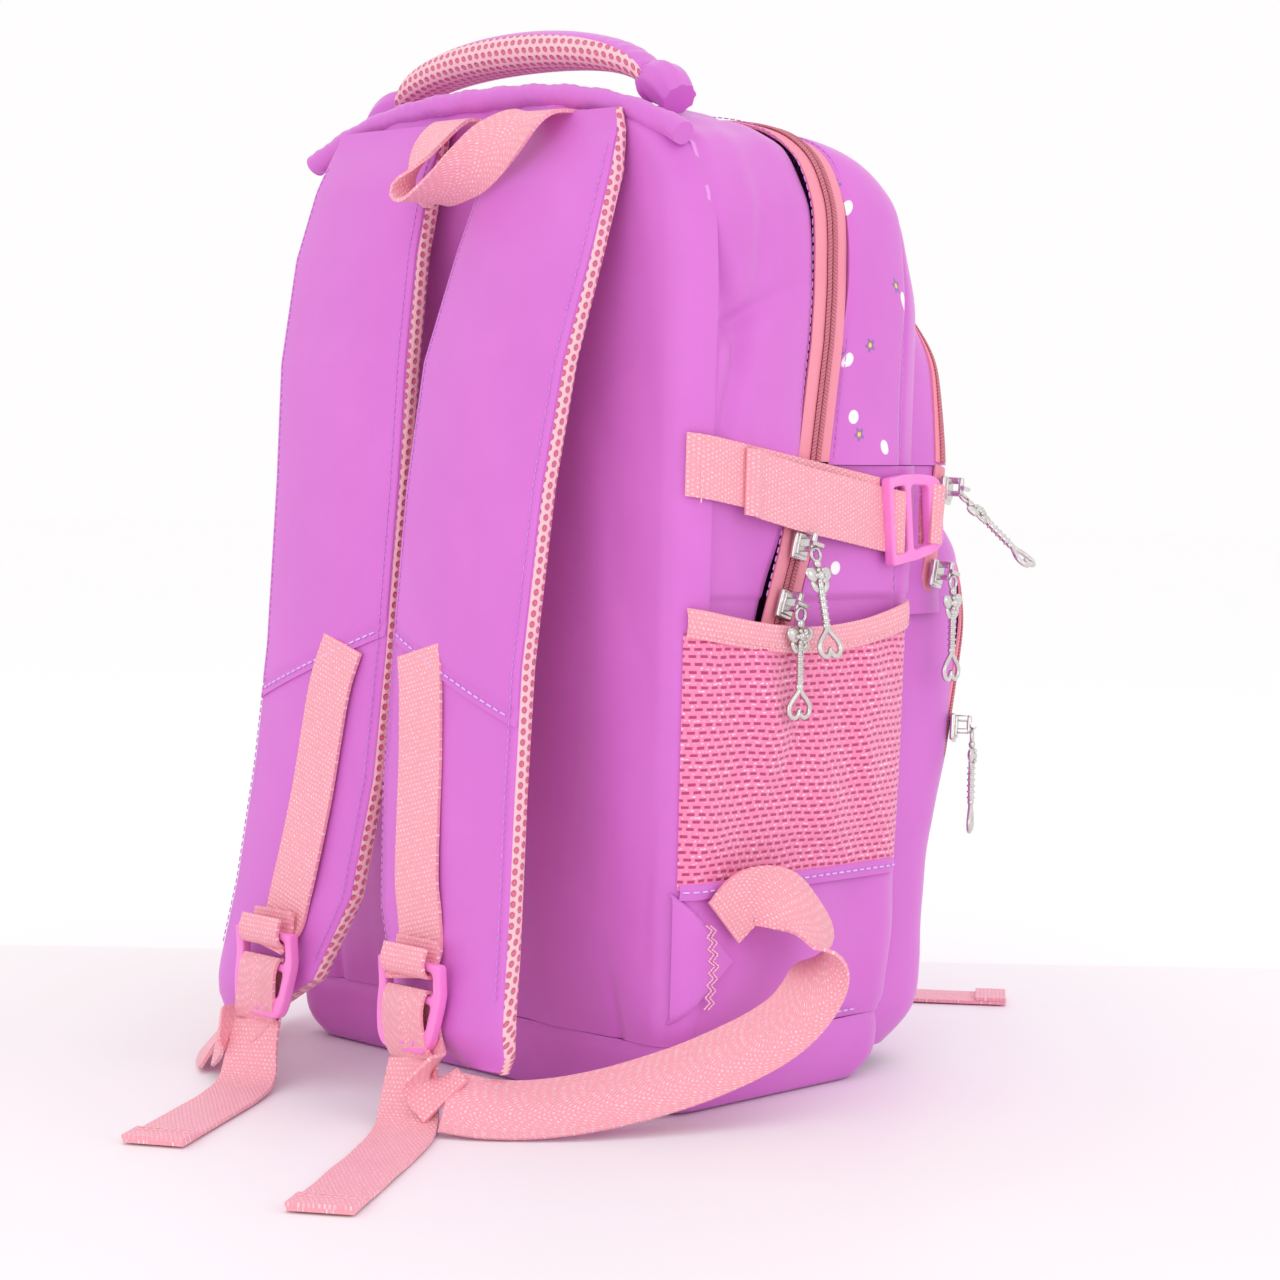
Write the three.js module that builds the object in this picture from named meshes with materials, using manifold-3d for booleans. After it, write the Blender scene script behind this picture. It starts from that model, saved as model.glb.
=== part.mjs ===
// School backpack: a filled, zip-round rucksack with two padded shoulder straps, a padded grab handle, a
// hanging loop, side mesh pockets, compression straps and two zipped front pockets.
// Millimetres, +Z up. The origin is the middle of the base. The wearer's back faces -Y, the front pockets +Y.
import * as THREE from "three";
import { mergeVertices } from "three/addons/utils/BufferGeometryUtils.js";
import Module from "manifold-3d";

const wasm = await Module();
wasm.setup();

// ---- driving sizes ----
const CLEAR = 0.35; // gap that two touching pieces keep
const WALL = 3; // fabric, thin foam and lining of the bag's walls
const POCKET_WALL = 2;
const BACK_Y = -70; // outer face of the back panel
const BACK_PAD = 12; // padded back panel, over all
const COVER = 1.5; // one layer of covering fabric
const BASE_TOP = 28; // height of the base panel's seam
const BOARD = 2.5; // stiffening board in the base
const BODY_TOP = 409;
const HALF = 122.5; // half the width of the body where it is widest
const FRONT = 103; // middle of the body's front, behind the pockets
const ZIP_LOW = 190; // where the main zip ends on each side
const FOLD_Z = 261; // the opened front folds here
const TAPE = 9.5; // visible zip tape, each side of the teeth
const COIL = 3.2; // half width of the closed coil
const COIL_RISE = 1.3;
const SIDE_SEAM_Y = 60; // between the side gussets and the front of the lid
const WEBBING = 25; // width of every webbing strap
const WEB_THICK = 1.6;
const STRAP_PAD = 10; // thickness of a padded shoulder strap
const STRAP_MESH = 2.6; // spacer mesh on its underside
const STRAP_TOP = 391; // upper end of the shoulder straps
const MESH_TOP = 205; // side mesh pocket, top of its elastic
const MESH_LOW = 92;
const MESH_WALL = 1.5;
const ELASTIC = 12; // height of the elastic band
const MESH_MOUTH = 6; // free gap at the mouth of a mesh pocket
const LOOP_WIDE = 22; // webbing of the hanging loop
const HANDLE_WIDE = 28;
const HANDLE_THICK = 16;
const HANDLE_REACH = 76; // from the middle to each sewn end
const HANDLE_RISE = 19; // finger room under the grab handle
const BUCKLE_WIDE = 37;
const BUCKLE_TALL = 36;
const BUCKLE_THICK = 5;
const BAR = 3.4; // thickness of a buckle's bars
const PULL_LONG = 46;
const PULL_THICK = 2.4;

// ---- colours ----
const orchid = { color: 0xd46fe0, roughness: 0.55, metalness: 0 };
const pink = { color: 0xff8fa8, roughness: 0.7, metalness: 0 };
const plastic = { color: 0xff86dd, roughness: 0.35, metalness: 0 };
const nickel = { color: 0xb9b6b2, roughness: 0.2, metalness: 1 };
const foam = { color: 0xf4f1e6, roughness: 0.9, metalness: 0 };
const board = { color: 0x3a3a3e, roughness: 0.6, metalness: 0 };

const group = new THREE.Group();
const v3 = (x, y, z) => new THREE.Vector3(x, y, z);

function add(name, geometry, look) {
  const made = new THREE.Mesh(geometry, new THREE.MeshStandardMaterial(look));
  made.name = name;
  group.add(made);
  return made;
}

// ---- solids and booleans ----
function solid(geometry) {
  const bare = geometry.index ? geometry.toNonIndexed() : geometry.clone();
  bare.deleteAttribute("normal");
  bare.deleteAttribute("uv");
  const merged = mergeVertices(bare, 1e-4);
  const mesh = new wasm.Mesh({
    numProp: 3,
    vertProperties: new Float32Array(merged.attributes.position.array),
    triVerts: new Uint32Array(merged.index.array),
  });
  mesh.merge();
  return new wasm.Manifold(mesh);
}

function geometryOf(made) {
  const mesh = made.getMesh();
  const geometry = new THREE.BufferGeometry();
  geometry.setAttribute("position", new THREE.BufferAttribute(new Float32Array(mesh.vertProperties), 3));
  geometry.setIndex(new THREE.BufferAttribute(new Uint32Array(mesh.triVerts), 1));
  return geometry;
}

// The largest separate body, without the crumbs that a cut can leave.
function mainBody(made) {
  return made.decompose().sort((a, b) => b.volume() - a.volume())[0];
}

// A closed skin through rings of equal length, each counter-clockwise seen from the way the skin grows.
function loft(rings) {
  const count = rings[0].length;
  const places = rings.flat().flatMap((p) => [p.x, p.y, p.z]);
  const index = [];
  for (let r = 0; r + 1 < rings.length; r++) {
    for (let i = 0; i < count; i++) {
      const a = r * count + i;
      const b = r * count + ((i + 1) % count);
      index.push(a, b, b + count, a, b + count, a + count);
    }
  }
  for (const [ring, flip] of [[0, true], [rings.length - 1, false]]) {
    const middle = rings[ring].reduce((sum, p) => sum.add(p), v3(0, 0, 0)).divideScalar(count);
    places.push(middle.x, middle.y, middle.z);
    const hub = places.length / 3 - 1;
    for (let i = 0; i < count; i++) {
      const a = ring * count + i;
      const b = ring * count + ((i + 1) % count);
      index.push(...(flip ? [hub, b, a] : [hub, a, b]));
    }
  }
  const geometry = new THREE.BufferGeometry();
  geometry.setAttribute("position", new THREE.BufferAttribute(new Float32Array(places), 3));
  geometry.setIndex(index);
  return geometry;
}

// A flat shape drawn in Y and Z, extruded along X.
function alongX(points, x0, x1) {
  const shape = new THREE.Shape(points.map(([y, z]) => new THREE.Vector2(y, z)));
  const made = new THREE.ExtrudeGeometry(shape, { depth: x1 - x0, bevelEnabled: false });
  made.applyMatrix4(new THREE.Matrix4().makeBasis(v3(0, 1, 0), v3(0, 0, 1), v3(1, 0, 0)));
  return made.translate(x0, 0, 0);
}

function block(x0, x1, y0, y1, z0, z1) {
  const made = new THREE.BoxGeometry(x1 - x0, y1 - y0, z1 - z0);
  return solid(made.translate((x0 + x1) / 2, (y0 + y1) / 2, (z0 + z1) / 2));
}

const mirrored = (geometry) => {
  const made = geometry.clone().scale(-1, 1, 1);
  const flipped = made.index ? made.toNonIndexed() : made;
  const at = flipped.attributes.position;
  for (let i = 0; i < at.count; i += 3) {
    const [x, y, z] = [at.getX(i), at.getY(i), at.getZ(i)];
    at.setXYZ(i, at.getX(i + 1), at.getY(i + 1), at.getZ(i + 1));
    at.setXYZ(i + 1, x, y, z);
  }
  return flipped;
};

// Straight-line reading of a table of levels at any height.
function level(levels, z) {
  const above = levels.findIndex((row) => row.z >= z);
  if (above <= 0) return { ...levels[above < 0 ? levels.length - 1 : 0], z };
  const [low, high] = [levels[above - 1], levels[above]];
  const share = (z - low.z) / (high.z - low.z);
  const read = { z };
  for (const key of Object.keys(low)) if (key !== "z") read[key] = low[key] + share * (high[key] - low[key]);
  return read;
}

// ---- the filled bag's outline at several heights ----
// half: half width; back: back face; side: where the side turns into the front; front: middle of the front.
const bodyLevels = [
  { z: 0, half: HALF - 10.5, back: BACK_Y + 6, side: 40, front: FRONT - 37 },
  { z: 7, half: HALF - 3.5, back: BACK_Y, side: 46, front: FRONT - 27 },
  { z: 60, half: HALF - 2.5, back: BACK_Y, side: 50, front: FRONT - 17 },
  { z: 150, half: HALF - 1.5, back: BACK_Y, side: 52, front: FRONT - 7 },
  { z: FOLD_Z, half: HALF, back: BACK_Y, side: 52, front: FRONT },
  { z: BODY_TOP - 79, half: HALF + 1.5, back: BACK_Y, side: 46, front: FRONT },
  { z: BODY_TOP - 43, half: HALF - 0.5, back: BACK_Y, side: 38, front: FRONT - 11 },
  { z: BODY_TOP - 23, half: HALF - 9.5, back: BACK_Y, side: 22, front: FRONT - 33 },
  { z: BODY_TOP - 11, half: HALF - 26.5, back: BACK_Y, side: 2, front: FRONT - 61 },
  { z: BODY_TOP - 3, half: HALF - 52.5, back: BACK_Y + 2, side: -22, front: FRONT - 95 },
  { z: BODY_TOP, half: HALF - 78.5, back: BACK_Y + 5, side: -40, front: FRONT - 123 },
];
const LOWER_WIDE = 228; // the front pockets' widths
const UPPER_WIDE = 228;
const LOWER_HALF = LOWER_WIDE / 2;
const UPPER_HALF = UPPER_WIDE / 2;
const lowerPocketLevels = [
  { z: 8, half: LOWER_HALF - 10, back: 0, side: 62, front: FRONT - 7 },
  { z: 24, half: LOWER_HALF - 1, back: 0, side: 72, front: FRONT + 9 },
  { z: 110, half: LOWER_HALF, back: 0, side: 76, front: FRONT + 19 },
  { z: 190, half: LOWER_HALF, back: 0, side: 84, front: FRONT + 39 },
  { z: 222, half: LOWER_HALF - 2, back: 0, side: 86, front: FRONT + 41 },
  { z: 240, half: LOWER_HALF - 12, back: 0, side: 80, front: FRONT + 31 },
];
const upperPocketLevels = [
  { z: 196, half: UPPER_HALF, back: 0, side: 70, front: FRONT + 21 },
  { z: FOLD_Z, half: UPPER_HALF - 1, back: 0, side: 74, front: FRONT + 28 },
  { z: 306, half: UPPER_HALF - 4, back: 0, side: 68, front: FRONT + 19 },
  { z: 334, half: UPPER_HALF - 16, back: 0, side: 60, front: FRONT + 7 },
  { z: 346, half: UPPER_HALF - 32, back: 0, side: 50, front: FRONT - 3 },
];
const BODY_ROUND = { corner: 14, power: 2.7 };
const POCKET_ROUND = { corner: 6, power: 3.6 };

// One outline: back corners as arcs, straight sides, and a front that is a quarter super-ellipse each side.
function outline(row, grow, { corner, power }) {
  const half = row.half + grow;
  const back = row.back - grow;
  const depth = row.front + grow - row.side;
  const right = [];
  for (const turn of [0, 30, 60, 90]) {
    const angle = THREE.MathUtils.degToRad(turn);
    right.push([half - corner + corner * Math.sin(angle), back + corner - corner * Math.cos(angle)]);
  }
  for (const turn of [0, 14, 28, 42, 55, 68, 80]) {
    const angle = THREE.MathUtils.degToRad(turn);
    right.push([half * Math.cos(angle) ** (2 / power), row.side + depth * Math.sin(angle) ** (2 / power)]);
  }
  const left = right.map(([x, y]) => [-x, y]).reverse();
  return [...right, [0, row.side + depth], ...left].map(([x, y]) => v3(x, y, row.z));
}

function body(levels, round, grow) {
  const [low, high] = [levels[0].z, levels[levels.length - 1].z];
  const share = (high - low + 2 * grow) / (high - low);
  const rings = levels.map((row) => outline({ ...row, z: low - grow + (row.z - low) * share }, grow, round));
  return solid(loft(rings));
}

const outer = body(bodyLevels, BODY_ROUND, 0);
const grown = body(bodyLevels, BODY_ROUND, CLEAR);
const shell = outer.subtract(body(bodyLevels, BODY_ROUND, -WALL));

// ---- regions of the side view that the panels are cut by ----
const zipPoints = [[-17, ZIP_LOW], [-5, 226], [4, FOLD_Z], [10, 310], [12, 350], [12, 440]];
function zipY(z) {
  const above = Math.max(1, zipPoints.findIndex(([, high]) => high >= z));
  const [[y0, z0], [y1, z1]] = [zipPoints[above - 1], zipPoints[above]];
  return z <= ZIP_LOW ? zipPoints[0][0] : y0 + ((y1 - y0) * (z - z0)) / (z1 - z0);
}
// The band of the side view from one distance off the zip line to another, between two heights.
function zipBand(from, to, low, high) {
  const heights = [low, ...zipPoints.map(([, z]) => z).filter((z) => z > low && z < high), high];
  const up = heights.map((z) => [zipY(z) + from, z]);
  const down = heights.map((z) => [zipY(z) + to, z]).reverse();
  return solid(alongX([...down.reverse(), ...up.reverse()], -200, 200));
}
const REST_Y = BACK_Y + BACK_PAD + CLEAR; // the back panel's inner face
const low = BASE_TOP + CLEAR;
const TOP = 440;

// ---- back panel, base, gussets, front ----
const backSlab = outer.intersect(block(-200, 200, -200, BACK_Y + BACK_PAD, BASE_TOP + CLEAR, TOP));
const padLevels = bodyLevels.map((row) => ({ ...row, half: row.half - 8, back: row.back + COVER + CLEAR }));
const padSpace = body(padLevels, BODY_ROUND, 0);
const padBox = (grow) =>
  block(-200, 200, BACK_Y + COVER, BACK_Y + BACK_PAD - COVER - CLEAR + grow, low + 8 - grow, 392 + grow);
const backFoam = padSpace.intersect(padBox(0));
const padHole = body(
  padLevels.map((row) => ({ ...row, half: row.half + CLEAR, back: row.back - CLEAR })), BODY_ROUND, 0);
add("back_cover", geometryOf(mainBody(backSlab.subtract(padHole.intersect(padBox(CLEAR + 3))).subtract(
  block(-200, 200, BACK_Y + BACK_PAD - COVER - CLEAR, 0, low - 1, TOP)))), orchid);
add("back_foam", geometryOf(mainBody(backFoam)), foam);
add("back_lining", geometryOf(mainBody(
  backSlab.intersect(block(-200, 200, BACK_Y + BACK_PAD - COVER, 0, low, TOP)))), orchid);
add("base_panel", geometryOf(shell.intersect(block(-200, 200, -200, 200, -1, BASE_TOP))), orchid);
const boardBody = body(bodyLevels, BODY_ROUND, -WALL - CLEAR);
add("base_board", geometryOf(boardBody.intersect(
  block(-200, 200, -200, 200, WALL + CLEAR, WALL + CLEAR + BOARD))), board);

const sewn = shell.intersect(block(-200, 200, REST_Y, 200, low, TOP));
const rearBand = zipBand(-200, -0.2, 0, ZIP_LOW).add(zipBand(-200, -TAPE - CLEAR, ZIP_LOW - 0.01, TOP));
add("rear_gusset", geometryOf(mainBody(sewn.intersect(rearBand))), orchid);
add("front_panel", geometryOf(mainBody(sewn.intersect(zipBand(0.2, 300, 0, FOLD_Z - 1)))), orchid);
const lidLow = FOLD_Z + 1;
add("lid_gusset", geometryOf(mainBody(sewn.intersect(zipBand(TAPE + CLEAR, 200, lidLow, TOP)).intersect(
  block(-200, 200, -200, SIDE_SEAM_Y, lidLow, TOP)))), orchid);
add("lid_front_panel", geometryOf(mainBody(
  sewn.intersect(block(-200, 200, SIDE_SEAM_Y + CLEAR, 200, lidLow, TOP)))), orchid);

// ---- main zip: a tape each side, each with its half of the coil ----
const tapeSkin = outer.subtract(body(bodyLevels, BODY_ROUND, -1.6));
const coilSkin = body(bodyLevels, BODY_ROUND, COIL_RISE).subtract(body(bodyLevels, BODY_ROUND, -1));
const rearTape = tapeSkin.intersect(zipBand(-TAPE, -0.2, ZIP_LOW + CLEAR, TOP)).add(
  coilSkin.intersect(zipBand(-COIL, -0.2, ZIP_LOW + CLEAR, TOP)));
const frontTape = tapeSkin.intersect(zipBand(0.2, TAPE, lidLow, TOP)).add(
  coilSkin.intersect(zipBand(0.2, COIL, lidLow, TOP)));
add("main_zip_rear_tape", geometryOf(mainBody(rearTape)), pink);
add("main_zip_front_tape", geometryOf(mainBody(frontTape)), pink);

// ---- front pockets: hollow caps sewn on the front panel, each with a zip round the edge of its face ----
const keepFront = (from, to) => block(-200, 200, 30, 300, from, to);
const upperGrown = body(upperPocketLevels, POCKET_ROUND, CLEAR);
function pocketShell(levels, behind) {
  const skin = body(levels, POCKET_ROUND, 0).subtract(body(levels, POCKET_ROUND, -POCKET_WALL));
  return behind.reduce((made, other) => made.subtract(other), skin);
}
const upperShell = pocketShell(upperPocketLevels, [grown]);
const lowerShell = pocketShell(lowerPocketLevels, [grown, upperGrown]);
add("upper_pocket_base", geometryOf(mainBody(upperShell.intersect(keepFront(0, FOLD_Z - 1)))), orchid);
add("upper_pocket_top", geometryOf(mainBody(upperShell.intersect(keepFront(lidLow, TOP)))), orchid);
add("lower_pocket", geometryOf(mainBody(lowerShell.intersect(keepFront(0, TOP)))), orchid);

// Each pocket zip follows a line of the side view, as a rib on the pocket's skin.
const upperZipLine = [[90, 206], [97, 235], [101, FOLD_Z], [103, 300], [103, 330], [104, 350]];
const lowerZipLine = [[106, 134], [134, 215], [140, 232], [140, 245]];
function lineBand(line, half) {
  const up = line.map(([y, z]) => [y + half, z]);
  const down = line.map(([y, z]) => [y - half, z]).reverse();
  return solid(alongX([...up, ...down], -200, 200));
}
const POCKET_ZIP_HALF = 4.5;
const POCKET_RIB = 1.6;
const upperRib = body(upperPocketLevels, POCKET_ROUND, POCKET_RIB).subtract(upperGrown).subtract(grown).intersect(
  lineBand(upperZipLine, POCKET_ZIP_HALF));
const lowerRib = body(lowerPocketLevels, POCKET_ROUND, POCKET_RIB).subtract(
  body(lowerPocketLevels, POCKET_ROUND, CLEAR)).subtract(upperGrown).subtract(grown).intersect(
  lineBand(lowerZipLine, POCKET_ZIP_HALF));
add("upper_pocket_zip", geometryOf(mainBody(upperRib.intersect(keepFront(lidLow, TOP)))), pink);
const upperRibEnds = upperRib.intersect(keepFront(0, FOLD_Z - 1));
add("upper_pocket_zip_right_end", geometryOf(mainBody(upperRibEnds.intersect(block(0, 200, 0, 300, 0, TOP)))), pink);
add("upper_pocket_zip_left_end", geometryOf(mainBody(upperRibEnds.intersect(block(-200, 0, 0, 300, 0, TOP)))), pink);
add("lower_pocket_zip", geometryOf(mainBody(lowerRib)), pink);

// ---- binding rolled over the back's top edge ----
const BINDING_R = 4.5;
const bindingRise = (x) => BODY_TOP + 1 - 23 * (Math.abs(x) / (HALF - 4.5)) ** 2.6;
const bindingCurve = new THREE.CatmullRomCurve3(
  [-HALF + 8.5, -95, -50, 0, 50, 95, HALF - 8.5].map((x) => v3(x, BACK_Y + BINDING_R, bindingRise(x))));
const bindingShape = new THREE.Shape().absarc(0, 0, BINDING_R, 0, 2 * Math.PI);
const binding = new THREE.ExtrudeGeometry(bindingShape, {
  extrudePath: bindingCurve, steps: 18, curveSegments: 5, bevelEnabled: false });
add("top_binding", geometryOf(mainBody(solid(binding).subtract(grown))), orchid);

// ---- thick sheets ----
// place(u, v, face) gives the point at u across and v along, on face 0 or on face 1.
// The normal points to face 1.
function slab(across, along, place) {
  const places = [];
  for (const face of [0, 1]) {
    for (let j = 0; j <= along; j++) {
      for (let i = 0; i <= across; i++) places.push(...place(i / across, j / along, face).toArray());
    }
  }
  const row = across + 1;
  const layer = row * (along + 1);
  const index = [];
  const quad = (a, b, c, d) => index.push(a, b, c, a, c, d);
  for (let j = 0; j < along; j++) {
    for (let i = 0; i < across; i++) {
      const at = j * row + i;
      quad(at + row, at + row + 1, at + 1, at);
      quad(layer + at, layer + at + 1, layer + at + row + 1, layer + at + row);
    }
  }
  for (let i = 0; i < across; i++) {
    quad(i, i + 1, layer + i + 1, layer + i);
    const far = along * row + i;
    quad(layer + far, layer + far + 1, far + 1, far);
  }
  for (let j = 0; j < along; j++) {
    const at = j * row;
    quad(layer + at, layer + at + row, at + row, at);
    const end = at + across;
    quad(end, end + row, layer + end + row, layer + end);
  }
  const geometry = new THREE.BufferGeometry();
  geometry.setAttribute("position", new THREE.BufferAttribute(new Float32Array(places), 3));
  geometry.setIndex(index);
  return geometry;
}

// Webbing along a route of [middle, direction of its width] pairs.
function ribbon(route, width, thick, steps) {
  const middle = new THREE.CatmullRomCurve3(route.map(([at]) => v3(...at)));
  const wide = new THREE.CatmullRomCurve3(route.map(([, side]) => v3(...side).normalize()));
  return slab(1, steps, (u, v, face) => {
    const tangent = middle.getTangent(v);
    const side = wide.getPoint(v);
    side.addScaledVector(tangent, -side.dot(tangent)).normalize();
    const normal = side.clone().cross(tangent);
    return middle.getPoint(v)
      .addScaledVector(side, (u - 0.5) * width)
      .addScaledVector(normal, (face - 0.5) * thick);
  });
}
const flipX = (route) => route.map(([[x, y, z], [a, b, c]]) => [[-x, y, z], [-a, b, c]]);
const bothSides = (name, geometry, look) => {
  add(`right_${name}`, geometry, look);
  add(`left_${name}`, mirrored(geometry), look);
};

// ---- shoulder straps ----
// inner, outer: the strap's edges; face: its underside, towards the back panel.
const strapLevels = [
  { z: 23, inner: 70, outer: 88, face: -128 },
  { z: 30, inner: 50, outer: 91, face: -127.5 },
  { z: 44, inner: 27, outer: 90, face: -126 },
  { z: 80, inner: 10, outer: 86, face: -120 },
  { z: 130, inner: 3.5, outer: 82, face: -114 },
  { z: 180, inner: 2.5, outer: 80, face: -109 },
  { z: 250, inner: 3, outer: 83, face: -102 },
  { z: 300, inner: 6, outer: 88, face: -96 },
  { z: 345, inner: 13, outer: 92, face: -85 },
  { z: 375, inner: 17, outer: 91, face: -75 },
  { z: STRAP_TOP, inner: 18, outer: 88, face: BACK_Y - CLEAR - 0.5 },
];
const strapRows = strapLevels.map((row) => row.z);
function strapSheet(from, to, wider, steps) {
  const [low, high] = [strapRows[0], strapRows[strapRows.length - 1]];
  return slab(6, steps, (u, v, face) => {
    const row = level(strapLevels, low + v * (high - low));
    const wideHere = row.outer - row.inner + 2 * wider;
    const crown = Math.sin(Math.PI * u) ** 0.6;
    const deep = face ? from + (to - from) * (0.45 + 0.55 * crown) : from;
    return v3(row.inner - wider + u * wideHere, row.face - deep, row.z);
  });
}
const PAD_FROM = STRAP_MESH + CLEAR;
bothSides("strap_mesh", strapSheet(0, STRAP_MESH, -0.5, 22), pink);
bothSides("strap_pad", strapSheet(PAD_FROM, PAD_FROM + STRAP_PAD, 0, 22), orchid);
const PAD_FACE = PAD_FROM + STRAP_PAD + CLEAR;
const strapWebRoute = [[184, 24], [170, 28], [120, 34], [92, 38], [66, 44]].map(([z, x]) => (
  [[x, level(strapLevels, z).face - PAD_FACE - WEB_THICK / 2, z], [1, 0, 0.1]]));
bothSides("strap_webbing", ribbon(strapWebRoute, WEBBING, WEB_THICK, 12), pink);

// ---- ladder-lock buckles ----
function roundBox(shape, x0, x1, z0, z1, r) {
  shape.moveTo(x0 + r, z0).lineTo(x1 - r, z0).absarc(x1 - r, z0 + r, r, -Math.PI / 2, 0);
  shape.lineTo(x1, z1 - r).absarc(x1 - r, z1 - r, r, 0, Math.PI / 2);
  shape.lineTo(x0 + r, z1).absarc(x0 + r, z1 - r, r, Math.PI / 2, Math.PI);
  shape.lineTo(x0, z0 + r).absarc(x0 + r, z0 + r, r, Math.PI, 1.5 * Math.PI);
  return shape;
}
// Upright in X and Z about its middle, its thickness along Y.
function ladderLock() {
  const [w, h] = [BUCKLE_WIDE / 2, BUCKLE_TALL / 2];
  const shape = roundBox(new THREE.Shape(), -w, w, -h, h, 6);
  const slot = (z0, z1) => shape.holes.push(roundBox(new THREE.Path(), -w + BAR + 1, w - BAR - 1, z0, z1, 1.5));
  slot(h - BAR - 9.5, h - BAR);
  slot(-h + 8, h - 2 * BAR - 9.5);
  const made = new THREE.ExtrudeGeometry(shape, { depth: BUCKLE_THICK, bevelEnabled: false, curveSegments: 4 });
  return made.translate(0, 0, -BUCKLE_THICK / 2).rotateX(Math.PI / 2);
}
const BUCKLE_X = 46.5;
const BUCKLE_Z = 46;
const BUCKLE_Y = level(strapLevels, BUCKLE_Z - BUCKLE_TALL / 2 + 4).face - PAD_FACE - BUCKLE_THICK / 2;
bothSides("strap_buckle", ladderLock().translate(BUCKLE_X, BUCKLE_Y, BUCKLE_Z), plastic);

// ---- webbing from the anchor tabs to the buckles, and the free ends on the ground ----
const hug = (inner, outerGrow, points) => mainBody(body(bodyLevels, BODY_ROUND, outerGrow).subtract(
  body(bodyLevels, BODY_ROUND, inner)).intersect(solid(alongX(points, 60, 200))));
bothSides("anchor_tab", geometryOf(hug(CLEAR, 3, [[BACK_Y + 2, 91], [BACK_Y + 2, 38], [-37, 61]])), orchid);
const anchorRoute = [
  [[HALF + 2.4, -47, 78], [0, 0.77, -0.64]],
  [[HALF + 6.5, -36, 88], [0.15, 0.77, -0.62]],
  [[HALF + 15.5, -20, 84], [0.5, 0.3, -0.8]],
  [[HALF + 24.5, -10, 66], [0.45, -0.35, -0.82]],
  [[HALF + 23.5, -26, 42], [0.2, -0.3, -0.93]],
  [[HALF + 11.5, -66, 24], [0.35, -0.35, -0.85]],
  [[110, -113, 12.5], [0.45, -0.45, -0.76]],
  [[88, -137.5, 10.5], [0.42, -0.48, -0.77]],
  [[73.5, -148, 12.5], [0.3, -0.45, -0.84]],
];
bothSides("lower_webbing", ribbon(anchorRoute, WEBBING, WEB_THICK, 30), pink);
const GROUND = 0.5 + WEB_THICK / 2;
const rightTail = [
  [[50, BUCKLE_Y - 1, 25.8], [1, 0.1, 0]],
  [[53, -149, 13], [1, 0.25, 0]],
  [[61, -157, 3.4], [0.95, 0.4, 0]],
  [[76, -175, GROUND], [0.85, 0.53, 0]],
  [[106, -218, GROUND], [0.83, 0.55, 0]],
  [[133, -258, GROUND], [0.83, 0.55, 0]],
];
const leftTail = [
  [[-50, BUCKLE_Y - 1, 25.8], [1, 0.1, 0]],
  [[-47, -150, 13], [1, 0.25, 0]],
  [[-40, -158, 3.4], [0.95, 0.4, 0]],
  [[-27, -176, GROUND], [0.85, 0.53, 0]],
  [[-6, -210, GROUND], [0.84, 0.54, 0]],
  [[15, -244, GROUND], [0.84, 0.54, 0]],
];
add("right_strap_tail", ribbon(rightTail, WEBBING, WEB_THICK, 20), pink);
add("left_strap_tail", ribbon(leftTail, WEBBING, WEB_THICK, 20), pink);

// ---- compression straps round the sides ----
const STRAP_OFF = COIL_RISE + 0.5;
const bandOf = (y0, z0, y1, z1) => [[y0, z0], [y1, z1], [y1, z1 - WEBBING], [y0, z0 - WEBBING]].reverse();
// Its end is folded back and sewn down, so most of it is double.
const compressionStrap = hug(STRAP_OFF, STRAP_OFF + WEB_THICK, bandOf(BACK_Y + 3, 273, 42.8, 255.6)).add(
  hug(STRAP_OFF, STRAP_OFF + 2 * WEB_THICK, bandOf(-40, 268.7, 42.8, 255.6)));
bothSides("compression_strap", geometryOf(mainBody(compressionStrap)), pink);
const SIDE_BUCKLE = v3(HALF + 4, 62.5, 239);
const sideBuckle = ladderLock().rotateZ(Math.PI / 2).rotateX(Math.PI / 2 + 0.12).rotateZ(0.1);
bothSides("compression_buckle", sideBuckle.translate(SIDE_BUCKLE.x, SIDE_BUCKLE.y, SIDE_BUCKLE.z), plastic);
const sideTail = [
  [[-HALF - 4.9, 62.5, 218.5], [0.1, 1, 0]],
  [[-HALF - 9, 62.5, 205], [0.05, 1, 0]],
  [[-HALF - 9, 64, 160], [0.05, 1, 0]],
  [[-HALF - 9.5, 70, 90], [-0.1, 1, 0]],
  [[-HALF - 7.5, 84, 36], [-0.3, 0.95, 0]],
  [[-HALF + 2.5, 100, 8], [-0.45, 0.89, 0]],
  [[-HALF + 22.5, 118, GROUND + 0.8], [-0.6, 0.8, 0]],
  [[-60, 149, GROUND], [-0.62, 0.78, 0]],
  [[0, 195, GROUND], [-0.62, 0.78, 0]],
  [[50, 234, GROUND], [-0.62, 0.78, 0]],
];
add("left_compression_tail", ribbon(sideTail, WEBBING, WEB_THICK, 30), pink);

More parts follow.
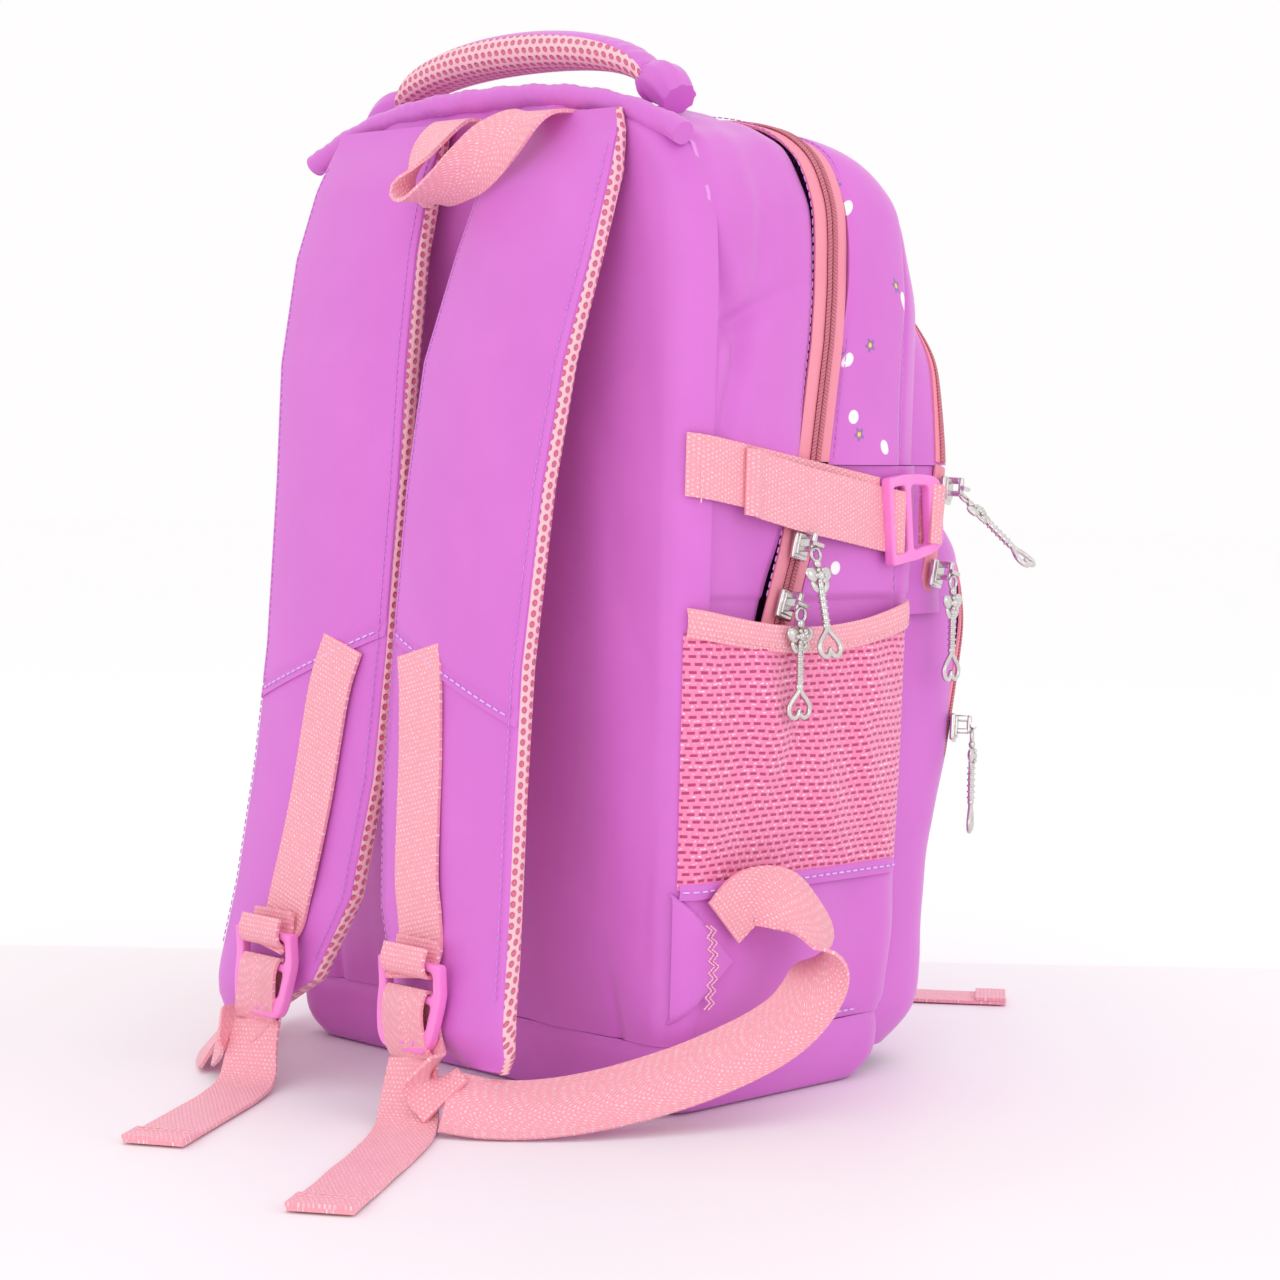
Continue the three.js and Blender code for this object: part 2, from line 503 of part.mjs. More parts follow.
// ---- side mesh pockets with elastic at the top ----
function bodyX(y, z) {
  const row = level(bodyLevels, z);
  const [corner, power] = [BODY_ROUND.corner, BODY_ROUND.power];
  if (y < row.back + corner) return row.half - corner + Math.sqrt(corner ** 2 - (row.back + corner - y) ** 2);
  if (y <= row.side) return row.half;
  return row.half * (1 - ((y - row.side) / (row.front - row.side)) ** power) ** (1 / power);
}
const POCKET_BACK = BACK_Y + 4;
const POCKET_FRONT = 66;
const SAG = 9; // how far the elastic sags in the middle
function sidePocket(lowAt, highAt, rise, thick, steps) {
  return slab(18, steps, (u, v, face) => {
    const y = POCKET_BACK + u * (POCKET_FRONT - POCKET_BACK);
    const sag = SAG * Math.sin(Math.PI * u);
    const z = lowAt + v * (highAt - lowAt) - sag * ((lowAt + v * (highAt - lowAt) - MESH_LOW) / (MESH_TOP - MESH_LOW));
    const share = (z - MESH_LOW) / (MESH_TOP - MESH_LOW);
    const bulge = Math.sin(Math.PI * u) ** 0.5 * (0.25 + 0.75 * Math.sin((Math.PI / 2) * Math.min(1, share * 1.6)));
    return v3(bodyX(y, z) + CLEAR + 0.5 + MESH_MOUTH * bulge * Math.min(1, share * 6) + rise + face * thick, y, z);
  });
}
bothSides("mesh_pocket", geometryOf(mainBody(
  solid(sidePocket(MESH_LOW, MESH_TOP - ELASTIC, 0, MESH_WALL, 8)).subtract(grown))), pink);
bothSides("pocket_elastic", geometryOf(mainBody(
  solid(sidePocket(MESH_TOP - ELASTIC + CLEAR, MESH_TOP, 0, MESH_WALL + 1, 2)).subtract(grown))), pink);

// ---- grab handle ----
const HANDLE_Y = -45;
const HANDLE_BASE = BODY_TOP;
const handleRise = (u) => HANDLE_RISE * Math.sin(Math.PI * u) ** 0.62;
function handlePart(from, to, narrower) {
  return slab(4, 22, (u, v, face) => {
    const x = -HANDLE_REACH + v * 2 * HANDLE_REACH;
    const wide = (0.5 + 0.5 * Math.sin(Math.PI * v) ** 0.4) * (HANDLE_WIDE - narrower);
    const thin = 0.45 + 0.55 * Math.sin(Math.PI * v) ** 0.5;
    const dome = face ? 1 - 0.45 * (2 * u - 1) ** 2 : 1;
    const up = (face ? to * dome : from) * thin;
    return v3(x, HANDLE_Y - (u - 0.5) * wide, HANDLE_BASE + handleRise(v) + up);
  });
}
add("grab_handle", handlePart(3.2, HANDLE_THICK - 5, 0), orchid);
add("grab_handle_mesh", handlePart(0.3, 2.5, 1), pink);
const anchorHole = block(-HANDLE_REACH - CLEAR, HANDLE_REACH + CLEAR, -200, 200, 300, 500);
for (const [name, side] of [["right_handle_end", 1], ["left_handle_end", -1]]) {
  const made = new THREE.SphereGeometry(9, 16, 10).scale(1.15, 0.95, 1);
  const at = solid(made.translate(side * (HANDLE_REACH + 5), HANDLE_Y, HANDLE_BASE + 1));
  add(name, geometryOf(mainBody(at.subtract(grown).subtract(anchorHole))), orchid);
}

// ---- hanging loop ----
const LOOP_ROOT = BACK_Y - CLEAR;
const loopRoute = [
  [[-27, LOOP_ROOT, 400], [1, 0, 0]],
  [[-27, -80, 400], [1, 0, 0]],
  [[-31, -92, 397], [1, 0.15, -0.15]],
  [[-40, -108, 389], [0.8, 0.2, -0.55]],
  [[-42, -124, 377], [0.3, 0.1, -0.95]],
  [[-33, -126, 375], [-0.35, 0.1, -0.93]],
  [[-12, -108, 387], [-0.8, 0.2, -0.55]],
  [[16, -89, 400], [-0.95, 0.25, -0.25]],
  [[28, -79, 401], [-1, 0, 0]],
  [[28, LOOP_ROOT, 401], [-1, 0, 0]],
];
add("hanging_loop", ribbon(loopRoute, LOOP_WIDE, WEB_THICK, 40), pink);

// ---- zip sliders and pulls ----
// A slider stands on the teeth; its crown carries the pull. Local frame: X out of the bag, Z along the zip.
const SLIDER_LONG = 12;
const SLIDER_WIDE = 9;
const CROWN_OUT = 11.4;
function sliderSolid() {
  const plate = new THREE.BoxGeometry(2.4, SLIDER_WIDE, SLIDER_LONG).translate(1.2, 0, 0);
  const neck = new THREE.BoxGeometry(7, 3, 5).translate(5.2, 0, 2.5);
  const crown = new THREE.BoxGeometry(3.6, 4.2, 6).translate(CROWN_OUT - 1.8, 0, 2);
  return geometryOf(solid(plate).add(solid(neck)).add(solid(crown)));
}
// A charm of a ring, a bow, a shank and a heart-shaped loop. Its top is at the origin and it hangs down Z.
function pullSolid() {
  const shape = new THREE.Shape();
  shape.moveTo(-2, 0).lineTo(2, 0).lineTo(3, -5).lineTo(7, -8).lineTo(7.5, -15).lineTo(2.4, -13);
  shape.lineTo(1.8, -PULL_LONG + 16).lineTo(6.5, -PULL_LONG + 10).lineTo(6, -PULL_LONG + 4).lineTo(0, -PULL_LONG);
  shape.lineTo(-6, -PULL_LONG + 4).lineTo(-6.5, -PULL_LONG + 10).lineTo(-1.8, -PULL_LONG + 16).lineTo(-2.4, -13);
  shape.lineTo(-7.5, -15).lineTo(-7, -8).lineTo(-3, -5);
  const eye = [...Array(10).keys()].map((i) => new THREE.Vector2(
    3.2 * Math.cos((i * Math.PI) / 5), 7 - PULL_LONG + 3.2 * Math.sin((i * Math.PI) / 5)));
  shape.holes.push(new THREE.Path(eye));
  const made = new THREE.ExtrudeGeometry(shape, { depth: PULL_THICK, bevelEnabled: false, curveSegments: 5 });
  return made.translate(0, 0, -PULL_THICK / 2).rotateX(Math.PI / 2).rotateZ(Math.PI / 2);
}
// out: the way out of the bag in plan and lean: how far the zip leans from Z, both in degrees;
// pull: how far the pull stands off; seat: extra room on a curved surface.
function pocketX(levels, y, z) {
  const row = level(levels, z);
  return row.half * (1 - ((y - row.side) / (row.front - row.side)) ** POCKET_ROUND.power) ** (1 / POCKET_ROUND.power);
}
const onBag = (z) => ({ x: bodyX(zipY(z) - 1.5, z) + COIL_RISE, y: zipY(z) - 1.5, out: 0 });
function onPocket(levels, line, z) {
  const above = line.findIndex(([, high]) => high >= z);
  const [[y0, z0], [y1, z1]] = [line[above - 1], line[above]];
  const y = y0 + ((y1 - y0) * (z - z0)) / (z1 - z0);
  const slope = pocketX(levels, y - 1, z) - pocketX(levels, y + 1, z);
  const out = THREE.MathUtils.radToDeg(Math.atan2(slope, 2));
  return { x: pocketX(levels, y, z) + POCKET_RIB, y, out };
}
const sliders = [
  { name: "main_upper", z: 228, on: onBag(228), lean: 13, pull: 13 },
  { name: "main_lower", z: 204, on: onBag(204), lean: 18, pull: 0 },
  { name: "upper_pocket_high", z: 250, on: onPocket(upperPocketLevels, upperZipLine, 250), lean: 8, pull: 48 },
  { name: "upper_pocket_low", z: 214, on: onPocket(upperPocketLevels, upperZipLine, 214), lean: 13, pull: 0 },
  { name: "lower_pocket", z: 146, on: onPocket(lowerPocketLevels, lowerZipLine, 146), lean: 14, pull: 0, seat: 0.5 },
];
for (const { name, z, on, lean, pull, seat = 0.2 } of sliders) {
  const place = new THREE.Matrix4().makeTranslation(on.x, on.y, z).multiply(
    new THREE.Matrix4().makeRotationZ(THREE.MathUtils.degToRad(on.out))).multiply(
    new THREE.Matrix4().makeTranslation(CLEAR + seat, 0, 0));
  const tilt = new THREE.Matrix4().makeRotationX(THREE.MathUtils.degToRad(-lean));
  add(`${name}_slider`, sliderSolid().applyMatrix4(place.clone().multiply(tilt)), nickel);
  const hang = new THREE.Matrix4().makeTranslation(CROWN_OUT - 1.8, 0, -3).multiply(
    new THREE.Matrix4().makeRotationY(THREE.MathUtils.degToRad(-pull)));
  add(`${name}_pull`, pullSolid().translate(0, 0, 1).applyMatrix4(place.clone().multiply(hang)), nickel);
}

export default group;
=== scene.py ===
import math

import bpy
import numpy as np
from mathutils import Matrix, Vector


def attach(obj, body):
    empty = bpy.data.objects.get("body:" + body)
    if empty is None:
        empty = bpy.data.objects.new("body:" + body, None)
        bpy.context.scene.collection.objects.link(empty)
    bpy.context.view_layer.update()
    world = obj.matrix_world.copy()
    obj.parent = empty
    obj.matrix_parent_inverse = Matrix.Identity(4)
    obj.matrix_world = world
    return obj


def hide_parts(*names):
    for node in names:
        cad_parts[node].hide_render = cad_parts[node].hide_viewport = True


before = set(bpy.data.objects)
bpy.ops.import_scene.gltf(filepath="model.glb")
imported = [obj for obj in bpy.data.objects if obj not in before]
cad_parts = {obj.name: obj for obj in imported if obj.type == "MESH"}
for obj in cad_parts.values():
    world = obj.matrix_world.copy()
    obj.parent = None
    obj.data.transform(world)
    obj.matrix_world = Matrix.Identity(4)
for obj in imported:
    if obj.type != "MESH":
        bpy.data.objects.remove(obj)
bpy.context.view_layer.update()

print("frame loaded")

# Camera, floor and light
shot = {"place": (0.90487, -0.87860, 0.26772), "turn": 44.929, "down": 3.871, "roll": 0.852, "lens": 81.2}
turn, down, roll = (math.radians(shot[key]) for key in ("turn", "down", "roll"))
ahead = Vector((-math.sin(turn) * math.cos(down), math.cos(turn) * math.cos(down), -math.sin(down)))
sideways = Vector((math.cos(turn), math.sin(turn), 0))
upward = sideways.cross(ahead)
axisX = sideways * math.cos(roll) + upward * math.sin(roll)
axisY = upward * math.cos(roll) - sideways * math.sin(roll)
bpy.ops.object.select_all(action="DESELECT")
bpy.ops.object.camera_add(location=shot["place"])
camera = bpy.context.object
camera.matrix_world = Matrix.Translation(shot["place"]) @ Matrix((axisX, axisY, -ahead)).transposed().to_4x4()
camera.data.lens = shot["lens"]
camera.data.sensor_width = 36
camera.data.clip_start = 0.01
bpy.context.scene.camera = camera

studio = {"sky": 1.0, "key": 5, "side": 3, "top": 2}
world = bpy.data.worlds.new("studioSky")
bpy.context.scene.world = world
world.use_nodes = True
world.node_tree.nodes["Background"].inputs["Color"].default_value = (1, 0.985, 0.99, 1)
world.node_tree.nodes["Background"].inputs["Strength"].default_value = studio["sky"]
bpy.context.scene.view_settings.view_transform = "Standard"


def softLight(name, power, size, place, colour=(1, 1, 1)):
    bpy.ops.object.select_all(action="DESELECT")
    bpy.ops.object.light_add(type="AREA", location=place)
    light = bpy.context.object
    light.name = name
    light.data.energy = power
    light.data.size = size
    light.data.color = colour
    light.rotation_euler = (Vector((0, 0, 0.2)) - Vector(place)).to_track_quat("-Z", "Y").to_euler()


softLight("keyLight", studio["key"], 1.3, (0.75, -1.8, 0.8))
softLight("sideLight", studio["side"], 1.1, (1.9, 0.15, 0.85), (1, 0.985, 0.97))
softLight("topLight", studio["top"], 1.6, (0.2, 0.1, 2.0))

# Shader groups


def newGroup(name, inputs, outputs):
    group = bpy.data.node_groups.new(name, "ShaderNodeTree")
    for label, value in inputs:
        kind = "NodeSocketVector" if isinstance(value, tuple) else "NodeSocketFloat"
        socket = group.interface.new_socket(label, in_out="INPUT", socket_type=kind)
        socket.default_value = value
    for label in outputs:
        group.interface.new_socket(label, in_out="OUTPUT", socket_type="NodeSocketFloat")
    return group, group.nodes.new("NodeGroupInput"), group.nodes.new("NodeGroupOutput")


def feed(tree, socket, value):
    if isinstance(value, bpy.types.NodeSocket):
        tree.links.new(value, socket)
    else:
        socket.default_value = value


def calc(tree, operation, first, second=0.0, third=0.0, clamp=False):
    made = tree.nodes.new("ShaderNodeMath")
    made.operation = operation
    made.use_clamp = clamp
    for socket, value in zip(made.inputs, (first, second, third)):
        feed(tree, socket, value)
    return made.outputs[0]


def splitUp(tree, vector):
    made = tree.nodes.new("ShaderNodeSeparateXYZ")
    tree.links.new(vector, made.inputs[0])
    return made.outputs


def noiseOf(tree, vector, scale, detail=2.0, roughness=0.5):
    made = tree.nodes.new("ShaderNodeTexNoise")
    tree.links.new(vector, made.inputs["Vector"])
    feed(tree, made.inputs["Scale"], scale)
    made.inputs["Detail"].default_value = detail
    made.inputs["Roughness"].default_value = roughness
    return made.outputs["Fac"]


def ramped(tree, value, low, high):
    made = tree.nodes.new("ShaderNodeMapRange")
    made.interpolation_type = "SMOOTHSTEP"
    feed(tree, made.inputs["Value"], value)
    made.inputs["From Min"].default_value = low
    made.inputs["From Max"].default_value = high
    return made.outputs[0]


def sineAlong(tree, value, pitch):
    return calc(tree, "SINE", calc(tree, "MULTIPLY", value, 2 * math.pi / pitch))


# Fine plain weave with slubs; Shade varies the dye, Height the threads.
clothWeave, gin, gout = newGroup("clothWeave", [("Place", (0, 0, 0)), ("Pitch", 0.0007)], ["Height", "Shade"])
t = clothWeave
u, v, _ = splitUp(t, gin.outputs["Place"])
across = calc(t, "SINE", calc(t, "DIVIDE", calc(t, "MULTIPLY", u, 2 * math.pi), gin.outputs["Pitch"]))
along = calc(t, "SINE", calc(t, "DIVIDE", calc(t, "MULTIPLY", v, 2 * math.pi), gin.outputs["Pitch"]))
slub = noiseOf(t, gin.outputs["Place"], 900, 2)
threads = calc(t, "MULTIPLY", across, along)
t.links.new(calc(t, "MULTIPLY_ADD", threads, 0.5, slub), gout.inputs["Height"])
t.links.new(noiseOf(t, gin.outputs["Place"], 14, 3, 0.6), gout.inputs["Shade"])

# Flat webbing: ribs across, a finer rib along, and a painted highlight: the Thread output marks the crowns of
# the ribs, broken into specks, where they catch the light.
webWeave, gin, gout = newGroup("webWeave", [("Place", (0, 0, 0)), ("Pitch", 0.0019)], ["Height", "Thread"])
t = webWeave
u, v, _ = splitUp(t, gin.outputs["Place"])
row = calc(t, "DIVIDE", v, gin.outputs["Pitch"])
odd = calc(t, "MODULO", calc(t, "FLOOR", row), 2)
column = calc(t, "ADD", calc(t, "DIVIDE", u, gin.outputs["Pitch"]), calc(t, "MULTIPLY", odd, 0.5))
bumpRow = calc(t, "ABSOLUTE", calc(t, "SINE", calc(t, "MULTIPLY", row, math.pi)))
bumpColumn = calc(t, "ABSOLUTE", calc(t, "SINE", calc(t, "MULTIPLY", column, math.pi)))
both = calc(t, "MULTIPLY", bumpRow, bumpColumn)
t.links.new(both, gout.inputs["Height"])
speck = noiseOf(t, gin.outputs["Place"], 1400, 1)
t.links.new(calc(t, "MULTIPLY", ramped(t, both, 0.35, 0.95), ramped(t, speck, 0.42, 0.62)),
            gout.inputs["Thread"])

# Spacer mesh: rows of oval holes, each row half a step on.
spacerHoles, gin, gout = newGroup("spacerHoles", [("Place", (0, 0, 0)), ("Pitch", 0.0042)],
                                  ["Height", "Hole"])
t = spacerHoles
u, v, _ = splitUp(t, gin.outputs["Place"])
row = calc(t, "DIVIDE", u, calc(t, "MULTIPLY", gin.outputs["Pitch"], 0.86))
odd = calc(t, "MODULO", calc(t, "ABSOLUTE", calc(t, "FLOOR", row)), 2)
column = calc(t, "ADD", calc(t, "DIVIDE", v, gin.outputs["Pitch"]), calc(t, "MULTIPLY", odd, 0.5))
fromRow = calc(t, "SUBTRACT", calc(t, "FRACT", row), 0.5)
fromColumn = calc(t, "SUBTRACT", calc(t, "FRACT", column), 0.5)
away = calc(t, "SQRT", calc(t, "ADD",
                            calc(t, "POWER", calc(t, "MULTIPLY", calc(t, "ABSOLUTE", fromRow), 2.5), 2),
                            calc(t, "POWER", calc(t, "MULTIPLY", calc(t, "ABSOLUTE", fromColumn), 2.6), 2)))
t.links.new(ramped(t, away, 0.5, 1.0), gout.inputs["Height"])
t.links.new(calc(t, "SUBTRACT", 1.0, ramped(t, away, 0.62, 0.86)), gout.inputs["Hole"])

# Pocket mesh: rows of short dark dashes between shiny knitted rows, and a painted highlight in specks along
# the middle of each knitted row.
pocketKnit, gin, gout = newGroup("pocketKnit", [("Place", (0, 0, 0)), ("Pitch", 0.0046)],
                                 ["Height", "Dash", "Glint"])
t = pocketKnit
wander = noiseOf(t, gin.outputs["Place"], 60, 1)
u, v, _ = splitUp(t, gin.outputs["Place"])
row = calc(t, "DIVIDE", calc(t, "MULTIPLY_ADD", wander, 0.002, v),
           calc(t, "MULTIPLY", gin.outputs["Pitch"], 0.62))
odd = calc(t, "MODULO", calc(t, "ABSOLUTE", calc(t, "FLOOR", row)), 2)
column = calc(t, "ADD", calc(t, "DIVIDE", u, gin.outputs["Pitch"]), calc(t, "MULTIPLY", odd, 0.5))
fromRow = calc(t, "ABSOLUTE", calc(t, "SUBTRACT", calc(t, "FRACT", row), 0.5))
fromColumn = calc(t, "ABSOLUTE", calc(t, "SUBTRACT", calc(t, "FRACT", column), 0.5))
dash = calc(t, "MULTIPLY", calc(t, "SUBTRACT", 1.0, ramped(t, fromRow, 0.13, 0.24)),
            calc(t, "SUBTRACT", 1.0, ramped(t, fromColumn, 0.27, 0.38)))
t.links.new(dash, gout.inputs["Dash"])
t.links.new(calc(t, "SUBTRACT", calc(t, "MULTIPLY", fromRow, 1.5), dash), gout.inputs["Height"])
# Glint: painted highlight, a pale colour in specks along the middle of the knitted rows
spark = noiseOf(t, gin.outputs["Place"], 700, 1)
t.links.new(calc(t, "MULTIPLY", ramped(t, fromRow, 0.3, 0.45), ramped(t, spark, 0.52, 0.68)),
            gout.inputs["Glint"])

# Sparse printed spots and small five-petal flowers on a jittered lattice.
printSpots, gin, gout = newGroup("printSpots", [("Place", (0, 0, 0)), ("Cell", 0.034)],
                                 ["Dot", "Flower", "Middle"])
t = printSpots


def spotsOf(tree, vector, cell, shift, size, keep, petals):
    scaled = tree.nodes.new("ShaderNodeVectorMath")
    scaled.operation = "SCALE"
    tree.links.new(vector, scaled.inputs[0])
    feed(tree, scaled.inputs["Scale"], calc(tree, "DIVIDE", 1.0, cell))
    moved = tree.nodes.new("ShaderNodeVectorMath")
    tree.links.new(scaled.outputs[0], moved.inputs[0])
    moved.inputs[1].default_value = shift
    lattice = tree.nodes.new("ShaderNodeTexVoronoi")
    lattice.voronoi_dimensions = "2D"
    lattice.inputs["Scale"].default_value = 1
    lattice.inputs["Randomness"].default_value = 0.8
    tree.links.new(moved.outputs[0], lattice.inputs["Vector"])
    chosen = calc(tree, "LESS_THAN", splitUp(tree, lattice.outputs["Color"])[0], keep)
    gap = tree.nodes.new("ShaderNodeVectorMath")
    gap.operation = "SUBTRACT"
    tree.links.new(moved.outputs[0], gap.inputs[0])
    tree.links.new(lattice.outputs["Position"], gap.inputs[1])
    gapX, gapY, _ = splitUp(tree, gap.outputs[0])
    edge = size
    if petals:
        angle = calc(tree, "ARCTAN2", gapY, gapX)
        edge = calc(tree, "MULTIPLY_ADD", calc(tree, "COSINE", calc(tree, "MULTIPLY", angle, 5.0)),
                    size * 0.28, size)
    inside = calc(tree, "SUBTRACT", edge, lattice.outputs["Distance"])
    mask = calc(tree, "MULTIPLY", ramped(tree, inside, -0.004, 0.012), chosen)
    core = calc(tree, "MULTIPLY", calc(tree, "LESS_THAN", lattice.outputs["Distance"], size * 0.4), chosen)
    return mask, core


dots, _ = spotsOf(t, gin.outputs["Place"], gin.outputs["Cell"], (0.4, 0.1, 0), 0.088, 0.72, False)
flowers, core = spotsOf(t, gin.outputs["Place"], gin.outputs["Cell"], (7.3, 2.6, 0), 0.075, 0.25, True)
t.links.new(dots, gout.inputs["Dot"])
t.links.new(flowers, gout.inputs["Flower"])
t.links.new(core, gout.inputs["Middle"])


def placed(material, group, place, **values):
    tree = material.node_tree
    made = tree.nodes.new("ShaderNodeGroup")
    made.node_tree = group
    tree.links.new(place, made.inputs["Place"])
    for label, value in values.items():
        made.inputs[label].default_value = value
    return made.outputs


def mixed(tree, factor, first, second, blend="MIX"):
    made = tree.nodes.new("ShaderNodeMix")
    made.data_type = "RGBA"
    made.blend_type = blend
    feed(tree, made.inputs[0], factor)
    feed(tree, made.inputs[6], first)
    feed(tree, made.inputs[7], second)
    return made.outputs[2]


def newMaterial(name, roughness, **uniform):
    material = bpy.data.materials.new(name)
    material.use_nodes = True
    shader = material.node_tree.nodes["Principled BSDF"]
    shader.inputs["Roughness"].default_value = roughness
    for label, value in uniform.items():
        shader.inputs[label.replace("_", " ")].default_value = value
    where = material.node_tree.nodes.new("ShaderNodeTexCoord")
    return material, material.node_tree, shader, where.outputs["UV"], where.outputs["Object"]


def bumped(tree, shader, height, strength, distance):
    bump = tree.nodes.new("ShaderNodeBump")
    bump.inputs["Strength"].default_value = strength
    bump.inputs["Distance"].default_value = distance
    tree.links.new(height, bump.inputs["Height"])
    tree.links.new(bump.outputs[0], shader.inputs["Normal"])


# Colour table. Besides the cloth, plastic and thread colours it holds painted light: the pocket mesh's pale
# glint colour (a painted highlight), the dark coil colour (painted shade in the zip coil's grooves), and the
# pale webbing colour, which is the webbing's painted highlight and also the pink thread's paler tone.
palette = {
    "orchid": (0.70, 0.175, 0.66, 1), "orchidDeep": (0.55, 0.11, 0.54, 1),
    "orchidLight": (0.82, 0.32, 0.80, 1),
    "web": (0.92, 0.36, 0.44, 1), "webPale": (1.0, 0.74, 0.80, 1), "mesh": (0.97, 0.55, 0.62, 1),
    "meshDeep": (0.78, 0.14, 0.27, 1), "knit": (0.92, 0.24, 0.46, 1), "knitDeep": (0.50, 0.03, 0.16, 1),
    "knitPaintedGlint": (1.0, 0.74, 0.84, 1), "tape": (0.86, 0.25, 0.36, 1), "coil": (0.60, 0.16, 0.19, 1),
    "plastic": (0.93, 0.21, 0.66, 1), "stitch": (0.46, 0.16, 0.66, 1), "pale": (0.98, 0.95, 0.98, 1),
    "flower": (0.30, 0.16, 0.40, 1), "yellow": (0.9, 0.62, 0.12, 1),
}


def clothMaterial(name, base, deep, roughness=0.45, printed=False):
    material, tree, shader, uv, place = newMaterial(name, roughness, Sheen_Weight=0.25, Sheen_Roughness=0.4,
                                                    Specular_IOR_Level=0.42)
    weave = placed(material, clothWeave, uv, Pitch=0.0008)
    colour = mixed(tree, ramped(tree, weave["Shade"], 0.3, 0.75), palette[deep], palette[base])
    colour = mixed(tree, 0.72, colour, palette[base])
    if printed:
        spots = placed(material, printSpots, uv, Cell=0.034)
        colour = mixed(tree, spots["Flower"], colour, palette["flower"])
        colour = mixed(tree, spots["Middle"], colour, palette["yellow"])
        colour = mixed(tree, spots["Dot"], colour, palette["pale"])
    tree.links.new(colour, shader.inputs["Base Color"])
    tree.links.new(calc(tree, "MULTIPLY_ADD", weave["Shade"], 0.16, roughness - 0.08),
                   shader.inputs["Roughness"])
    bumped(tree, shader, weave["Height"], 0.25, 0.00012)
    return material


orchidCloth = clothMaterial("orchidPolyester", "orchid", "orchidDeep")
printedCloth = clothMaterial("printedPolyester", "orchid", "orchidDeep", printed=True)
liningCloth = clothMaterial("liningCloth", "orchidLight", "orchid", 0.6)

webCloth, tree, shader, uv, place = newMaterial("pinkWebbing", 0.5, Sheen_Weight=0.2)
weave = placed(webCloth, webWeave, uv, Pitch=0.0019)
# the pale colour on the Thread mask is a painted highlight on the rib crowns
tree.links.new(mixed(tree, weave["Thread"], palette["web"], palette["webPale"]), shader.inputs["Base Color"])
bumped(tree, shader, weave["Height"], 0.55, 0.0005)

spacerCloth, tree, shader, uv, place = newMaterial("spacerMesh", 0.6, Sheen_Weight=0.2)
holes = placed(spacerCloth, spacerHoles, uv, Pitch=0.0042)
tree.links.new(mixed(tree, holes["Hole"], palette["mesh"], palette["meshDeep"]), shader.inputs["Base Color"])
bumped(tree, shader, holes["Height"], 0.9, 0.0011)

pocketCloth, tree, shader, uv, place = newMaterial("pocketMesh", 0.42, Sheen_Weight=0.25)
knit = placed(pocketCloth, pocketKnit, uv, Pitch=0.0048)
colour = mixed(tree, knit["Dash"], palette["knit"], palette["knitDeep"])
# the pale colour on the Glint mask is a painted highlight
tree.links.new(mixed(tree, knit["Glint"], colour, palette["knitPaintedGlint"]), shader.inputs["Base Color"])
bumped(tree, shader, knit["Height"], 0.5, 0.0005)

tapeCloth, tree, shader, uv, place = newMaterial("zipTape", 0.6)
weave = placed(tapeCloth, clothWeave, uv, Pitch=0.0011)
tree.links.new(mixed(tree, weave["Shade"], palette["tape"], palette["web"]), shader.inputs["Base Color"])
bumped(tree, shader, weave["Height"], 0.4, 0.0002)

coilNylon, tree, shader, uv, place = newMaterial("zipCoil", 0.38)
across, along, _ = splitUp(tree, uv)
slant = calc(tree, "MULTIPLY_ADD", calc(tree, "ABSOLUTE", across), 0.45, along)
ridge = sineAlong(tree, slant, 0.0015)
groove = ramped(tree, calc(tree, "ABSOLUTE", across), 0.0, 0.0006)
height = calc(tree, "MULTIPLY", calc(tree, "MULTIPLY_ADD", ridge, 0.5, 0.5), groove)
# The base colour goes to the dark coil colour where the height is low, in the grooves between turns and along
# the middle line: painted shade in the recesses.
tree.links.new(mixed(tree, height, palette["coil"], palette["tape"]), shader.inputs["Base Color"])
bumped(tree, shader, height, 0.9, 0.0008)

bucklePlastic, tree, shader, uv, place = newMaterial("pinkAcetal", 0.3, Subsurface_Weight=0.15,
                                                     Coat_Weight=0.15)
shader.inputs["Subsurface Radius"].default_value = (0.004, 0.002, 0.003)
cloud = noiseOf(tree, place, 60, 2)
tree.links.new(mixed(tree, cloud, palette["plastic"], (0.96, 0.30, 0.72, 1)), shader.inputs["Base Color"])
bumped(tree, shader, noiseOf(tree, place, 900, 2), 0.06, 0.0004)

nickelMetal, tree, shader, uv, place = newMaterial("castNickel", 0.2, Metallic=1.0)
cloud = noiseOf(tree, place, 160, 3)
tree.links.new(mixed(tree, cloud, (0.52, 0.50, 0.47, 1), (0.80, 0.79, 0.77, 1)), shader.inputs["Base Color"])
tree.links.new(calc(tree, "MULTIPLY_ADD", cloud, 0.25, 0.1), shader.inputs["Roughness"])
bumped(tree, shader, noiseOf(tree, place, 420, 2), 0.25, 0.0004)

stitchThread, tree, shader, uv, place = newMaterial("lilacThread", 0.5)
tree.links.new(mixed(tree, noiseOf(tree, place, 500, 1), palette["stitch"], palette["orchidLight"]),
               shader.inputs["Base Color"])
paleThread, tree, shader, uv, place = newMaterial("lavenderThread", 0.5)
tree.links.new(mixed(tree, noiseOf(tree, place, 500, 1), (0.62, 0.36, 0.85, 1), (0.85, 0.72, 0.98, 1)),
               shader.inputs["Base Color"])
pinkThread, tree, shader, uv, place = newMaterial("pinkThread", 0.5)
tree.links.new(mixed(tree, noiseOf(tree, place, 500, 1), palette["webPale"], palette["web"]),
               shader.inputs["Base Color"])

